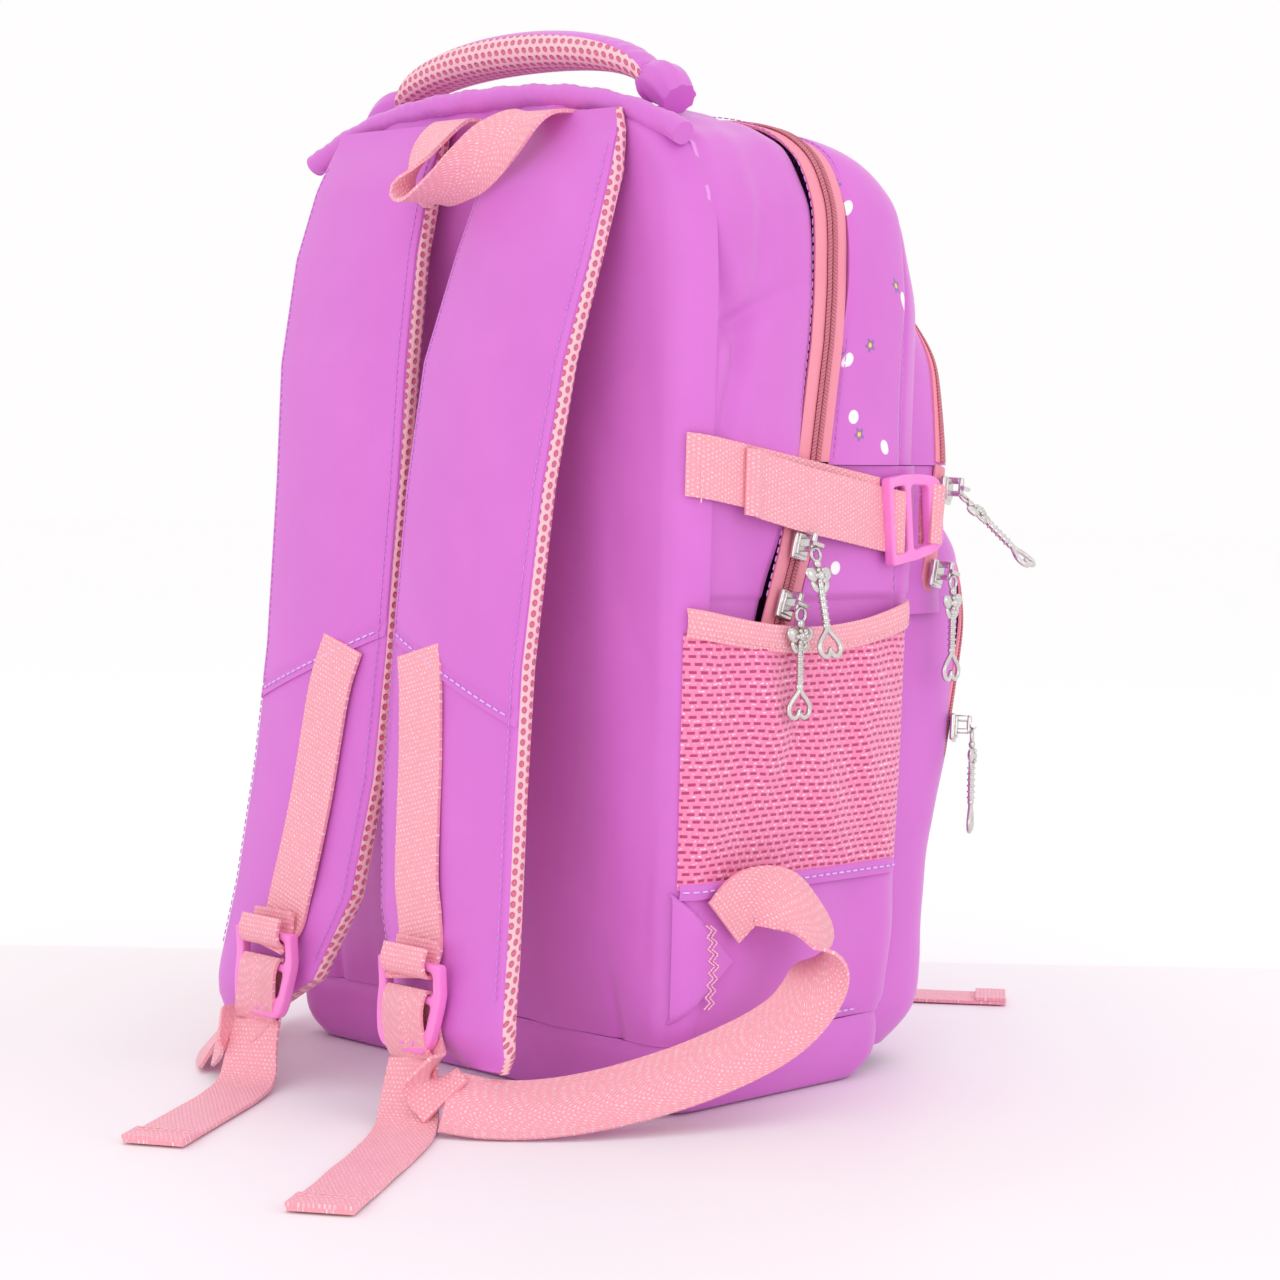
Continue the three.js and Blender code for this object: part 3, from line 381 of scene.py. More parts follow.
foamFill, tree, shader, uv, place = newMaterial("foamFill", 0.9)
tree.links.new(mixed(tree, noiseOf(tree, place, 400, 3), (0.86, 0.83, 0.74, 1), (0.95, 0.93, 0.88, 1)),
               shader.inputs["Base Color"])
boardFill, tree, shader, uv, place = newMaterial("baseBoard", 0.6)
tree.links.new(mixed(tree, noiseOf(tree, place, 120, 4), (0.03, 0.03, 0.034, 1), (0.06, 0.06, 0.066, 1)),
               shader.inputs["Base Color"])

floorPaint, tree, shader, uv, place = newMaterial("paleTable", 0.55)
tint = mixed(tree, noiseOf(tree, place, 1.4, 1), (0.93, 0.90, 0.915, 1), (0.95, 0.93, 0.94, 1))
distance = tree.nodes.new("ShaderNodeVectorMath")
distance.operation = "DOT_PRODUCT"
tree.links.new(place, distance.inputs[0])
distance.inputs[1].default_value = (-0.69, 0.724, 0)
tree.links.new(mixed(tree, ramped(tree, distance.outputs["Value"], 0.235, 0.245), tint, (1, 1, 1, 1)),
               shader.inputs["Base Color"])
bpy.ops.object.select_all(action="DESELECT")
bpy.ops.mesh.primitive_plane_add(size=14, location=(0, 0, -0.0004))
floor = bpy.context.object
floor.name = "paleTable"
bpy.ops.object.transform_apply(location=True, rotation=True, scale=True)
floor.data.materials.append(floorPaint)
print("camera, light and finishes ready")

# Sheets laid out as grids


def gridPiece(name, points, material, thick=0.0, inner=None, offset=-1.0, startU=None):
    # points is rows by columns by xyz in millimetres; u runs along a row, v from row to row
    rows, columns = points.shape[:2]
    bpy.ops.object.select_all(action="DESELECT")
    bpy.ops.mesh.primitive_grid_add(x_subdivisions=columns - 1, y_subdivisions=rows - 1, size=1)
    piece = bpy.context.object
    piece.name = piece.data.name = name
    mesh = piece.data
    flat = np.empty(len(mesh.vertices) * 3)
    mesh.vertices.foreach_get("co", flat)
    flat = flat.reshape(-1, 3)
    column = np.rint((flat[:, 0] + 0.5) * (columns - 1)).astype(int)
    row = np.rint((flat[:, 1] + 0.5) * (rows - 1)).astype(int)
    mesh.vertices.foreach_set("co", (points[row, column] * 0.001).ravel())
    stepU = np.linalg.norm(np.diff(points, axis=1), axis=2)
    stepV = np.linalg.norm(np.diff(points, axis=0), axis=2)
    lengthU = np.concatenate([np.zeros((rows, 1)), np.cumsum(stepU, axis=1)], axis=1)
    lengthU = lengthU - lengthU[:, [columns // 2]] if startU is None else lengthU + startU
    lengthV = np.concatenate([np.zeros((1, columns)), np.cumsum(stepV, axis=0)], axis=0)
    corner = np.empty(len(mesh.loops), dtype=np.int32)
    mesh.loops.foreach_get("vertex_index", corner)
    uv = np.stack([lengthU[row, column], lengthV[row, column]], axis=1)[corner] * 0.001
    mesh.uv_layers.active.data.foreach_set("uv", uv.ravel())
    mesh.update()
    mesh.materials.append(material)
    if inner:
        mesh.materials.append(inner)
    if thick:
        wall = piece.modifiers.new("thickness", "SOLIDIFY")
        wall.thickness = thick * 0.001
        wall.offset = offset
        if inner:
            wall.material_offset = 1
        bpy.ops.object.modifier_apply(modifier="thickness")
    bpy.ops.object.shade_smooth_by_angle(angle=math.radians(50))
    return piece


def outwards(points, middle):
    # unit normals of a grid of points, all on the side away from middle
    alongU = np.gradient(points, axis=1)
    alongV = np.gradient(points, axis=0)
    normal = np.cross(alongU, alongV)
    size = np.linalg.norm(normal, axis=2, keepdims=True)
    normal = normal / np.where(size < 1e-9, 1, size)
    facing = np.sum(normal * (points - np.array(middle)), axis=2)
    return normal if np.median(facing) > 0 else -normal


def sameSide(points, middle):
    # rows run so that the faces point away from middle
    alongU = np.gradient(points, axis=1)
    alongV = np.gradient(points, axis=0)
    facing = np.sum(np.cross(alongU, alongV) * (points - np.array(middle)), axis=2)
    return points if np.median(facing) > 0 else points[:, ::-1]


def folds(a, b, seed, size, count=7):
    # soft random relief, about -1 to 1
    chance = np.random.default_rng(seed)
    total = 0
    for _ in range(count):
        turnA, turnB = chance.normal(size=2) / size
        total = total + np.sin(turnA * a + turnB * b + chance.uniform(0, 6.28))
    return total / math.sqrt(count)


def crease(along, across, place, length, width):
    # a short valley: gaussian across, fading along its length
    return np.exp(-((across / width) ** 2)) * np.exp(-(((along - place) / length) ** 2))


def resample(line, count, share=None):
    line = np.asarray(line, float)
    step = np.linalg.norm(np.diff(line[:, :3], axis=0), axis=1)
    run = np.concatenate([[0], np.cumsum(step)])
    wanted = np.linspace(0, 1, count) if share is None else share
    return np.stack([np.interp(wanted * run[-1], run, line[:, k]) for k in range(line.shape[1])], axis=1)


def curveThrough(points, steps=24):
    # centripetal curve through the points, any number of columns, spaced on the first three
    points = np.asarray(points, float)
    points = np.vstack([2 * points[0] - points[1], points, 2 * points[-1] - points[-2]])
    made = []
    for i in range(1, len(points) - 2):
        p = points[i - 1:i + 3]
        k = np.concatenate([[0], np.cumsum([max(np.linalg.norm((p[j + 1] - p[j])[:3]), 1e-6) ** 0.5
                                            for j in range(3)])])
        for at in np.linspace(k[1], k[2], steps, endpoint=False):
            a = [p[j] + (p[j + 1] - p[j]) * (at - k[j]) / (k[j + 1] - k[j]) for j in range(3)]
            b = [a[j] + (a[j + 1] - a[j]) * (at - k[j]) / (k[j + 2] - k[j]) for j in range(2)]
            made.append(b[0] + (b[1] - b[0]) * (at - k[1]) / (k[2] - k[1]))
    made.append(points[-2])
    return np.array(made)


def settle(piece, body, nodes=()):
    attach(piece, body)
    if nodes:
        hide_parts(*nodes)
    return piece


def joined(name, pieces):
    bpy.ops.object.select_all(action="DESELECT")
    for piece in pieces:
        piece.select_set(True)
    bpy.context.view_layer.objects.active = pieces[0]
    if len(pieces) > 1:
        bpy.ops.object.join()
    made = bpy.context.object
    made.name = made.data.name = name
    return made


def fromMeshData(name, places, faces, material):
    mesh = bpy.data.meshes.new(name)
    mesh.from_pydata(places.tolist(), [], faces)
    mesh.update()
    piece = bpy.data.objects.new(name, mesh)
    bpy.context.scene.collection.objects.link(piece)
    mesh.materials.append(material)
    mesh.polygons.foreach_set("use_smooth", [True] * len(mesh.polygons))
    return piece


def stitches(name, line, normal, material, body, pitch=3.4, long=2.4, radius=0.32, lift=0.25):
    # a row of raised stitches along a line in millimetres, each a small six-sided bead
    length = np.linalg.norm(np.diff(line, axis=0), axis=1).sum()
    count = max(2, int(length / pitch))
    dense = resample(np.hstack([line, np.broadcast_to(normal, line.shape)]), 8 * count + 1)
    places, faces = [], []
    for k in range(count):
        middle = dense[8 * k + 4]
        ahead = dense[8 * k + 6, :3] - dense[8 * k + 2, :3]
        ahead = ahead / (np.linalg.norm(ahead) + 1e-9)
        up = middle[3:] / (np.linalg.norm(middle[3:]) + 1e-9)
        wide = np.cross(ahead, up)
        start = len(places)
        for part, share in ((-0.5, 0.45), (-0.3, 1), (0.3, 1), (0.5, 0.45)):
            for turnAt in range(6):
                angle = turnAt * math.pi / 3
                offset = wide * math.cos(angle) * 1.2 + up * math.sin(angle)
                places.append(middle[:3] + ahead * part * long + offset * radius * share +
                              up * (lift + radius * 0.2))
        for ring in range(3):
            for turnAt in range(6):
                a, b = start + ring * 6 + turnAt, start + ring * 6 + (turnAt + 1) % 6
                faces.append((a, b, b + 6, a + 6))
        faces.append(tuple(start + k2 for k2 in range(5, -1, -1)))
        faces.append(tuple(start + 18 + k2 for k2 in range(6)))
    return settle(fromMeshData(name, np.array(places) * 0.001, faces, material), body, ())


# The filled bag and its pockets as heights with half width, back, side and front
def heightTable(rows, corner, power):
    rows = np.array(rows, float)
    z = np.arange(rows[0, 0], rows[-1, 0] + 0.5, 1.0)
    shape = {"z": z, "corner": corner, "power": power}
    blur = np.exp(-(np.arange(-14, 15) / 5.5) ** 2 / 2)
    blur /= blur.sum()
    for key, values in zip(("half", "back", "side", "front"), rows[:, 1:].T):
        plain = np.interp(z, rows[:, 0], values)
        padded = np.concatenate([2 * plain[0] - plain[14:0:-1], plain, 2 * plain[-1] - plain[-2:-16:-1]])
        shape[key] = np.convolve(padded, blur, "valid")
    return shape


bagShape = heightTable([
    (0, 112, -64, 40, 66), (7, 119, -70, 46, 76), (60, 120, -70, 50, 86), (150, 121, -70, 52, 96),
    (261, 122.5, -70, 52, 103), (330, 124, -70, 46, 103), (366, 122, -70, 38, 92), (386, 113, -70, 22, 70),
    (398, 96, -70, 2, 42), (406, 70, -68, -22, 8), (409, 44, -65, -40, -20)], 14, 2.7)
lowerPocketShape = heightTable([
    (8, 104, 0, 62, 96), (24, 113, 0, 72, 112), (110, 114, 0, 76, 122), (190, 114, 0, 84, 142),
    (222, 112, 0, 86, 144), (240, 102, 0, 80, 134)], 6, 3.6)
upperPocketShape = heightTable([
    (196, 114, 0, 70, 124), (261, 113, 0, 74, 131), (306, 110, 0, 68, 122), (334, 98, 0, 60, 110),
    (346, 82, 0, 50, 100)], 6, 3.6)


def sizesAt(shape, z):
    return [np.interp(z, shape["z"], shape[key]) for key in ("half", "back", "side", "front")]


def halfWidth(shape, y, z):
    half, back, side, front = sizesAt(shape, z)
    corner, power = shape["corner"], shape["power"]
    rear = half - corner + np.sqrt(np.clip(corner ** 2 - (back + corner - y) ** 2, 0, None))
    share = np.clip((y - side) / (front - side), 0, 1)
    fore = half * (1 - share ** power) ** (1 / power)
    x = np.where(y < back + corner, rear, np.where(y <= side, half, fore))
    return np.where((y >= back - 1e-6) & (y <= front + 1e-6), x, np.nan)


def archLine(shape, lineY, zLow, count):
    # over the shape from the right at zLow to the left, along y = lineY(z)
    z = np.arange(zLow, shape["z"][-1] + 0.01, 0.25)
    y = lineY(z)
    x = halfWidth(shape, y, z)
    keep = np.cumsum(np.isnan(x)) == 0
    right = np.stack([x[keep], y[keep], z[keep]], axis=1)
    last = right[-1]
    if last[0] > 0.3:
        share = np.linspace(0, 1, 24)[1:]
        cap = np.stack([last[0] * (1 - share), np.full(23, last[1]),
                        last[2] + 1.5 * (1 - (1 - share) ** 2)], axis=1)
        right = np.vstack([right, cap])
    right = resample(right, count // 2 + 1)
    return np.vstack([right, right[-2::-1] * (-1, 1, 1)])


def bandOver(shape, fromY, toY, zLow, rows, columns):
    made = []
    for share in np.linspace(0, 1, rows):
        made.append(archLine(shape, lambda z: fromY(z) + (toY(z) - fromY(z)) * share, zLow, columns))
    return np.array(made)


def ringsRound(shape, heights, startY, columns):
    # round the front from the right at y = startY(z) to the left, one row for each height
    made = []
    for z in heights:
        half, back, side, front = sizesAt(shape, z)
        begin = startY(z)
        angle = np.linspace(0, math.pi / 2, 240)
        power = shape["power"]
        x = half * np.cos(angle) ** (2 / power)
        y = side + (front - side) * np.sin(angle) ** (2 / power)
        line = np.stack([x, y, np.full(240, z)], axis=1)
        if begin < side:
            straightY = np.linspace(begin, side, 80)[:-1]
            straight = np.stack([halfWidth(shape, straightY, z), straightY, np.full(79, z)], axis=1)
            line = np.vstack([straight, line])
        elif begin < front:
            line = np.vstack([[halfWidth(shape, begin, z), begin, z], line[line[:, 1] > begin]])
        else:
            line = np.array([[0.02, front, z], [0, front, z]])
        right = resample(line, columns // 2 + 1)
        made.append(np.vstack([right, right[-2::-1] * (-1, 1, 1)]))
    return np.array(made)


def constantly(value):
    return lambda z: np.full_like(np.asarray(z, float), value)


zipLine = np.array([(-17, 190), (-5, 226), (4, 261), (10, 310), (12, 350), (12, 440)], float)
zipY = lambda z: np.interp(z, zipLine[:, 1], zipLine[:, 0])
core = (0, 0, 180)

# Bag panels


def smooth(value, low, high):
    share = np.clip((value - low) / (high - low), 0, 1)
    return share * share * (3 - 2 * share)


def nearSeam(value, place, width):
    return np.exp(-((value - place) / width) ** 2)


sides = {"low": 28.6, "high": 192, "rear": -57, "fold": 1.1}
rings = ringsRound(bagShape, np.linspace(sides["low"], sides["high"], 84), constantly(sides["rear"]), 260)
x, y, z = np.moveaxis(rings, 2, 0)
relief = folds(y + np.abs(x), z, 3, 26) * sides["fold"] + folds(y, z, 4, 11) * 0.35
relief += 2.2 * np.exp(-((z - 66) / 24) ** 2) * np.exp(-((y - 20) / 40) ** 2)
relief -= 1.8 * nearSeam(z, sides["low"], 4)
relief = np.where((z > 88) & (np.abs(y) < 70), np.minimum(relief, 0) - 0.6, relief)
rings = rings + outwards(rings, core) * relief[..., None]
lowerSides = gridPiece("lowerSides", rings, orchidCloth, 2.4, liningCloth)
settle(lowerSides, "bag", ["front_panel"])

middle = {"low": 189, "high": 260.4}
rings = ringsRound(bagShape, np.linspace(middle["low"], middle["high"], 40), lambda z: float(zipY(z)) + 9.7,
                   240)
x, y, z = np.moveaxis(rings, 2, 0)
relief = folds(y + np.abs(x), z, 5, 24) * 0.9 - 1.4 * nearSeam(y, 60, 2.4)
relief = np.where(z < 207, np.minimum(relief, 0) - 0.8, relief)
rings = rings + outwards(rings, core) * relief[..., None]
middlePanel = gridPiece("middlePanel", rings, orchidCloth, 2.4, liningCloth)
middlePanel.data.materials.append(printedCloth)
for face in middlePanel.data.polygons:
    if face.material_index == 0 and face.center.y < 0.060:
        face.material_index = 2
settle(middlePanel, "bag")

gusset = {"rear": -57.5, "low": 186}
band = bandOver(bagShape, constantly(gusset["rear"]), lambda z: zipY(z) - 9.6, gusset["low"], 64, 460)
x, y, z = np.moveaxis(band, 2, 0)
over = smooth(z, 300, 380)
relief = folds(y, z, 11, 22) * 1.9 + folds(y * 1.6, z * 0.6, 12, 12) * 0.5
relief += 2.4 * np.sin(np.clip((y + 57) / 60, 0, 1) * math.pi) * smooth(z, 205, 300)
relief -= (5.4 * crease(z, (y + 52) + 0.34 * (z - 333), 333, 26, 6) +
           4.2 * crease(z, (y + 44) - 0.3 * (z - 296), 296, 30, 5))
relief -= 3.8 * crease(y, (z - 318) - 0.5 * (y + 40), -40, 22, 5) + 2.0 * crease(z, y + 30, 352, 22, 5)
relief += 1.3 * over * folds(np.abs(x), y * 0.3, 14, 8)
relief -= 1.5 * nearSeam(y, -57, 3) + 1.2 * nearSeam(y, zipY(z) - 9.6, 2)
relief = np.where(z < 207, np.minimum(relief, 0) - 0.8, relief)
band = band + outwards(band, core) * relief[..., None]
rearGusset = gridPiece("rearGusset", sameSide(band, core), orchidCloth, 2.4, liningCloth)
settle(rearGusset, "bag", ["rear_gusset"])

lidSide = {"low": 260.7, "seam": 60}
band = bandOver(bagShape, lambda z: zipY(z) + 9.6, constantly(lidSide["seam"]), lidSide["low"], 54, 420)
x, y, z = np.moveaxis(band, 2, 0)
relief = folds(y, z, 21, 24) * 1.0 + 1.8 * np.sin(np.clip((y - zipY(z)) / 55, 0, 1) * math.pi)
relief -= 1.2 * nearSeam(y, zipY(z) + 9.6, 2) + 1.5 * nearSeam(y, 60, 2.4)
band = band + outwards(band, core) * relief[..., None]
lidGusset = gridPiece("lidGusset", sameSide(band, core), printedCloth, 2.4, liningCloth)
settle(lidGusset, "lid", ["lid_gusset"])

levels = np.arange(260.7, 392)
frontY = np.interp(levels, bagShape["z"], bagShape["front"])
run = resample(np.stack([frontY, levels, 0 * levels], axis=1), 76)
topZ = np.interp(60, frontY[::-1], levels[::-1])
heights = np.append(run[run[:, 1] < topZ - 0.4, 1], topZ - 0.05)
rings = ringsRound(bagShape, heights, constantly(60.3), 200)
x, y, z = np.moveaxis(rings, 2, 0)
relief = folds(x, z, 31, 30) * 1.3 + folds(x, z + y, 32, 14) * 0.4 - 1.5 * nearSeam(y, 60.3, 2.4)
relief *= smooth(topZ - z, 0.3, 9)
rings = rings + outwards(rings, core) * relief[..., None]
lidFront = gridPiece("lidFront", rings, orchidCloth, 2.4, liningCloth)
settle(lidFront, "lid", ["lid_front_panel"])

back = {"low": 28.6, "corner": 14, "puff": 3.0}
rows = []
for height in np.concatenate([np.linspace(back["low"], 396, 130), np.linspace(398, 409, 12)]):
    half, rear, _, _ = sizesAt(bagShape, height)
    angle = np.linspace(0, math.pi / 2, 30)
    round_ = np.stack([half - 14 + 14 * np.cos(angle), rear + 14 - 14 * np.sin(angle), np.full(30, height)],
                      axis=1)
    straight = np.stack([np.linspace(half - 14, 0, 60)[1:], np.full(59, rear), np.full(59, height)], axis=1)
    line = resample(np.vstack([[[half, rear + 15, height]], round_, straight]), 90)
    rows.append(np.vstack([line, line[-2::-1] * (-1, 1, 1)]))
rows = np.array(rows)
x, y, z = np.moveaxis(rows, 2, 0)
middleX = np.abs(x)
relief = (back["puff"] * np.sin(np.clip(middleX / 112, 0, 1) * math.pi) ** 0.8 * smooth(z, 30, 60) *
          smooth(400 - z, 0, 40))
relief += np.maximum(folds(x, z * 0.35, 41, 15) * 1.5 + folds(x, z, 42, 40) * 0.8, -0.4)
relief -= 0.5 * nearSeam(middleX, 0, 3) * smooth(z, 60, 110) + 1.2 * nearSeam(z, back["low"], 5)
relief -= 2.2 * crease(z, middleX - 88 + 0.012 * (z - 20) ** 2 * 0.2, 24, 30, 3)
relief *= smooth(122 - middleX, 0, 8)
rows = rows + outwards(rows, core) * relief[..., None]
backPanel = gridPiece("backPanel", sameSide(rows, core), orchidCloth, 2.2, liningCloth)
settle(backPanel, "bag", ["back_cover"])

base = {"top": 28.4}


def wholeRing(height, shrink, columns=240):
    half, rear, side, front = sizesAt(bagShape, height)
    angle = np.linspace(0, math.pi / 2, 24)
    corner = np.stack([half - 14 + 14 * np.sin(angle), rear + 14 - 14 * np.cos(angle)], axis=1)
    turnAt = np.linspace(0, math.pi / 2, 90)
    fore = np.stack([half * np.cos(turnAt) ** (2 / 2.7),
                     side + (front - side) * np.sin(turnAt) ** (2 / 2.7)], axis=1)
    right = np.vstack([[[0, rear]], corner, fore])
    ring = np.vstack([right, right[-2::-1] * (-1, 1)]) * shrink + (0, 0 if shrink == 1 else 2 * (1 - shrink))
    ring = np.hstack([ring, np.full((len(ring), 1), height)])
    return resample(ring, columns)


heights = [(0.4, s) for s in (0.02, 0.2, 0.4, 0.6, 0.75, 0.86, 0.94, 0.98)]
heights += [(h, 1) for h in (0.4, 1.2, 2.4, 4, 6, 8, 11, 14, 17, 20, 23, 26, 27.6, base["top"])]
rows = np.array([wholeRing(*height) for height in heights])
x, y, z = np.moveaxis(rows, 2, 0)
relief = (folds(x + y, z * 2, 51, 20) * 0.9 - 1.6 * nearSeam(z, 28.4, 3)) * smooth(z, 0.5, 8)
rows = rows + outwards(rows, (0, 0, 30)) * relief[..., None]
basePanel = gridPiece("basePanel", sameSide(rows, (0, 0, 30)), orchidCloth, 2.2, liningCloth)
bpy.ops.object.mode_set(mode="EDIT")
bpy.ops.mesh.select_all(action="SELECT")
bpy.ops.mesh.remove_doubles(threshold=0.00005)
bpy.ops.object.mode_set(mode="OBJECT")
settle(basePanel, "bag", ["base_panel"])
print("panels sewn")

# Main zip
tape = {"wide": 9.5, "coil": 3.0, "rise": 1.5}


def sideStrip(shape, fromY, toY, zLow, zHigh, rows, count, side):
    z = np.linspace(zLow, zHigh, count)
    made = []
    for share in np.linspace(0, 1, rows):
        y = fromY(z) + (toY(z) - fromY(z)) * share
        made.append(np.stack([halfWidth(shape, y, z) * side, y, z], axis=1))
    return np.array(made)


def zipPart(name, points, material, lift, body, startU=None, middle=core):
    # points run across the zip row by row; lift is one height for each row
    points = points + outwards(points, middle) * np.asarray(lift)[:, None, None]
    made = gridPiece(name, sameSide(points.transpose(1, 0, 2), middle), material, 1.0, startU=startU)
    return settle(made, body, ())


halfCoil = 0.35 + tape["rise"] * np.sin(np.linspace(0.12, 0.94, 7) * math.pi) ** 0.6
flatTape = np.array([0.1, 0.5, 0.5, 0.4])
rearTape = zipPart("rearZipTape", bandOver(bagShape, lambda z: zipY(z) - tape["wide"],
                                           lambda z: zipY(z) - 2.6, 190.4,
                   4, 420), tapeCloth, flatTape, "bag")
zipPart("rearZipCoil", bandOver(bagShape, lambda z: zipY(z) - tape["coil"], lambda z: zipY(z) - 0.15,
                   190.4, 7, 420), coilNylon, halfCoil, "bag", -3)
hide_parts("main_zip_rear_tape")
frontTape = zipPart("frontZipTape",
                    bandOver(bagShape, lambda z: zipY(z) + 2.6, lambda z: zipY(z) + tape["wide"],
                    261.8, 4, 380), tapeCloth, flatTape[::-1], "lid")
zipPart("frontZipCoil", bandOver(bagShape, lambda z: zipY(z) + 0.15, lambda z: zipY(z) + tape["coil"],
                    261.8, 7, 380), coilNylon, halfCoil[::-1], "lid", 0.15)
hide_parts("main_zip_front_tape")
for side, word in ((1, "right"), (-1, "left")):
    zipPart(word + "LowZipTape",
            sideStrip(bagShape, lambda z: zipY(z) + 2.6, lambda z: zipY(z) + tape["wide"], 190.4,
            260.2, 4, 60, side), tapeCloth, flatTape[::-1], "bag")
    zipPart(word + "LowZipCoil", sideStrip(bagShape, lambda z: zipY(z) + 0.15,
                                           lambda z: zipY(z) + tape["coil"],
            190.4, 260.2, 7, 60, side), coilNylon, halfCoil[::-1], "bag", 0.15)

# Front pockets
pocket = {"upperLow": 197, "fold": 261, "upperTop": 345.6, "lowerLow": 9, "lowerTop": 240}


def meetY(shape, z, sink=2.0):
    y = np.linspace(30, sizesAt(shape, z)[3], 500)
    out = halfWidth(shape, y, z) - np.nan_to_num(halfWidth(bagShape, y, z), nan=0.0)
    return float(y[np.argmax(out > -sink)])


def pocketPiece(name, shape, heights, seed, body, nodes, extra=()):
    rings = ringsRound(shape, heights, lambda z: meetY(shape, z), 200)
    for row in extra:
        rings = np.vstack([rings, row(rings)[None]]) if row is not None else rings
    x, y, z = np.moveaxis(rings, 2, 0)
    relief = folds(x, z, seed, 28) * 1.2 + folds(x, z, seed + 1, 12) * 0.35
    rings = rings + outwards(rings, core) * relief[..., None]
    made = gridPiece(name, rings, orchidCloth, 1.8, liningCloth)
    return settle(made, body, nodes)


pocketPiece("upperPocketLow", upperPocketShape, np.linspace(pocket["upperLow"], pocket["fold"] - 0.6, 36),
            61, "bag",
            ["upper_pocket_base"])
pocketPiece("upperPocketTop", upperPocketShape, np.linspace(pocket["fold"] - 0.3, pocket["upperTop"], 48),
            63, "lid",
            ["upper_pocket_top"])


def shutTop(rings):
    return rings[-1] * (0.93, 1, 1) + (0, -14, 2.0)


pocketPiece("lowerPocket", lowerPocketShape, np.linspace(pocket["lowerLow"], pocket["lowerTop"], 110),
                          65, "bag", ["lower_pocket"], [shutTop])
upperLine = np.array([(90, 206), (97, 235), (101, 261), (103, 300), (103, 330), (104, 350)], float)
lowerLine = np.array([(106, 134), (134, 215), (140, 232), (140, 245)], float)


def strayFrom(shape, points):
    # zero on the shape's skin, rising outwards
    half, back, side, front = sizesAt(shape, points[..., 2])
    forward = np.clip((points[..., 1] - side) / (front - side), 0, None)
    return (np.abs(points[..., 0]) / half) ** shape["power"] + forward ** shape["power"] - 1


def slopeOf(shape, points):
    made = np.stack([(strayFrom(shape, points + step) - strayFrom(shape, points - step)) / 0.2
                     for step in np.eye(3) * 0.1], axis=-1)
    return made


def stripAlong(shape, line, offsets, lifts):
    # rows across, one for each offset, kept on the shape's skin and then lifted
    ahead = np.gradient(line, axis=0)
    ahead /= np.linalg.norm(ahead, axis=1, keepdims=True)
    slope = slopeOf(shape, line)
    across = np.cross(slope / np.linalg.norm(slope, axis=1, keepdims=True), ahead)
    rows = []
    for offset, lift in zip(offsets, lifts):
        points = line + across * offset
        for _ in range(4):
            slope = slopeOf(shape, points)
            points = points - slope * (strayFrom(shape, points) / np.sum(slope ** 2, axis=1))[:, None]
        rows.append(points + slope / np.linalg.norm(slope, axis=1, keepdims=True) * lift)
    return np.array(rows)


def pocketZip(word, shape, line, zLow, zHigh, body, node, middle):
    # tape, coil, tape across the pocket's skin; above zHigh nothing, so that each half keeps to its own body
    lineY = lambda z: np.interp(z, line[:, 1], line[:, 0])
    parts = (("Tape", tapeCloth, -5.6, 5.6, np.array([0.1, 0.5, 0.6, 0.6, 0.5, 0.1]), None),
             ("Coil", coilNylon, -2.3, 2.3, 0.5 + 1.3 * np.sin(np.linspace(0.1, 0.9, 9) * math.pi) ** 0.6,
              None))
    for label, material, low, high, lift, start in parts:
        if zHigh is None:
            points = stripAlong(shape, archLine(shape, lineY, zLow, 361), np.linspace(low, high, len(lift)),
                                lift)
            zipPart(word + label, points, material, 0 * lift, body, start, middle)
        else:
            for side, way in ((1, "right"), (-1, "left")):
                line = sideStrip(shape, lineY, lineY, zLow, zHigh, 2, 60, side)[0]
                points = stripAlong(shape, line, np.linspace(low, high, len(lift)), lift)
                zipPart(word + way.capitalize() + label, points, material, 0 * lift, body,
                                    start, middle)
    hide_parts(*node)


pocketZip("upperZip", upperPocketShape, upperLine, 261.8, None, "lid", ["upper_pocket_zip"], (0, 40, 260))
pocketZip("upperZipEnd", upperPocketShape, upperLine, 206, 260.2, "bag",
          ["upper_pocket_zip_right_end", "upper_pocket_zip_left_end"], (0, 40, 230))
pocketZip("lowerZip", lowerPocketShape, lowerLine, 134, None, "bag", ["lower_pocket_zip"], (0, 40, 150))
print("zips and pockets in")

# Shoulder straps
strap = {"mesh": 2.6, "pad": 10.0, "edge": 7.6, "webTop": 184, "seamIn": 188, "seamOut": 157}
strapTable = np.array([
    (23, 70, 88, -128), (30, 50, 91, -127.5), (44, 27, 90, -126), (80, 10, 86, -120), (130, 3.5, 82, -114),
    (180, 2.5, 80, -109), (250, 3, 83, -102), (300, 6, 88, -96), (345, 13, 92, -85), (375, 17, 91, -75),
    (391, 18, 88, -71.2), (401, 18, 84, -69.6)], float)


def strapAt(z):
    return [np.interp(z, strapTable[:, 0], strapTable[:, k]) for k in (1, 2, 3)]


def padDepth(u, z):
    # how far the cover stands off the strap's underside
    crown = np.sin(np.pi * np.clip(u, 0.0001, 0.9999)) ** 0.5
    inner, outer, _ = strapAt(z)
    tip = smooth(z, 22, 40)
    root = 1 - 0.88 * smooth(z, 372, 401)
    puff = folds(z, u * 40, 71, 30) * 0.35 * crown
    return 3.2 + (4.2 + 5.6 * crown) * (0.35 + 0.65 * tip) * root + puff * root


def strapX(u, z, side):
    inner, outer, _ = strapAt(z)
    return side * (inner + u * (outer - inner))


def coverPoint(u, z, side, lift=0.0):
    return np.stack([strapX(u, z, side), strapAt(z)[2] - padDepth(u, z) - lift, z + 0 * u], axis=-1)


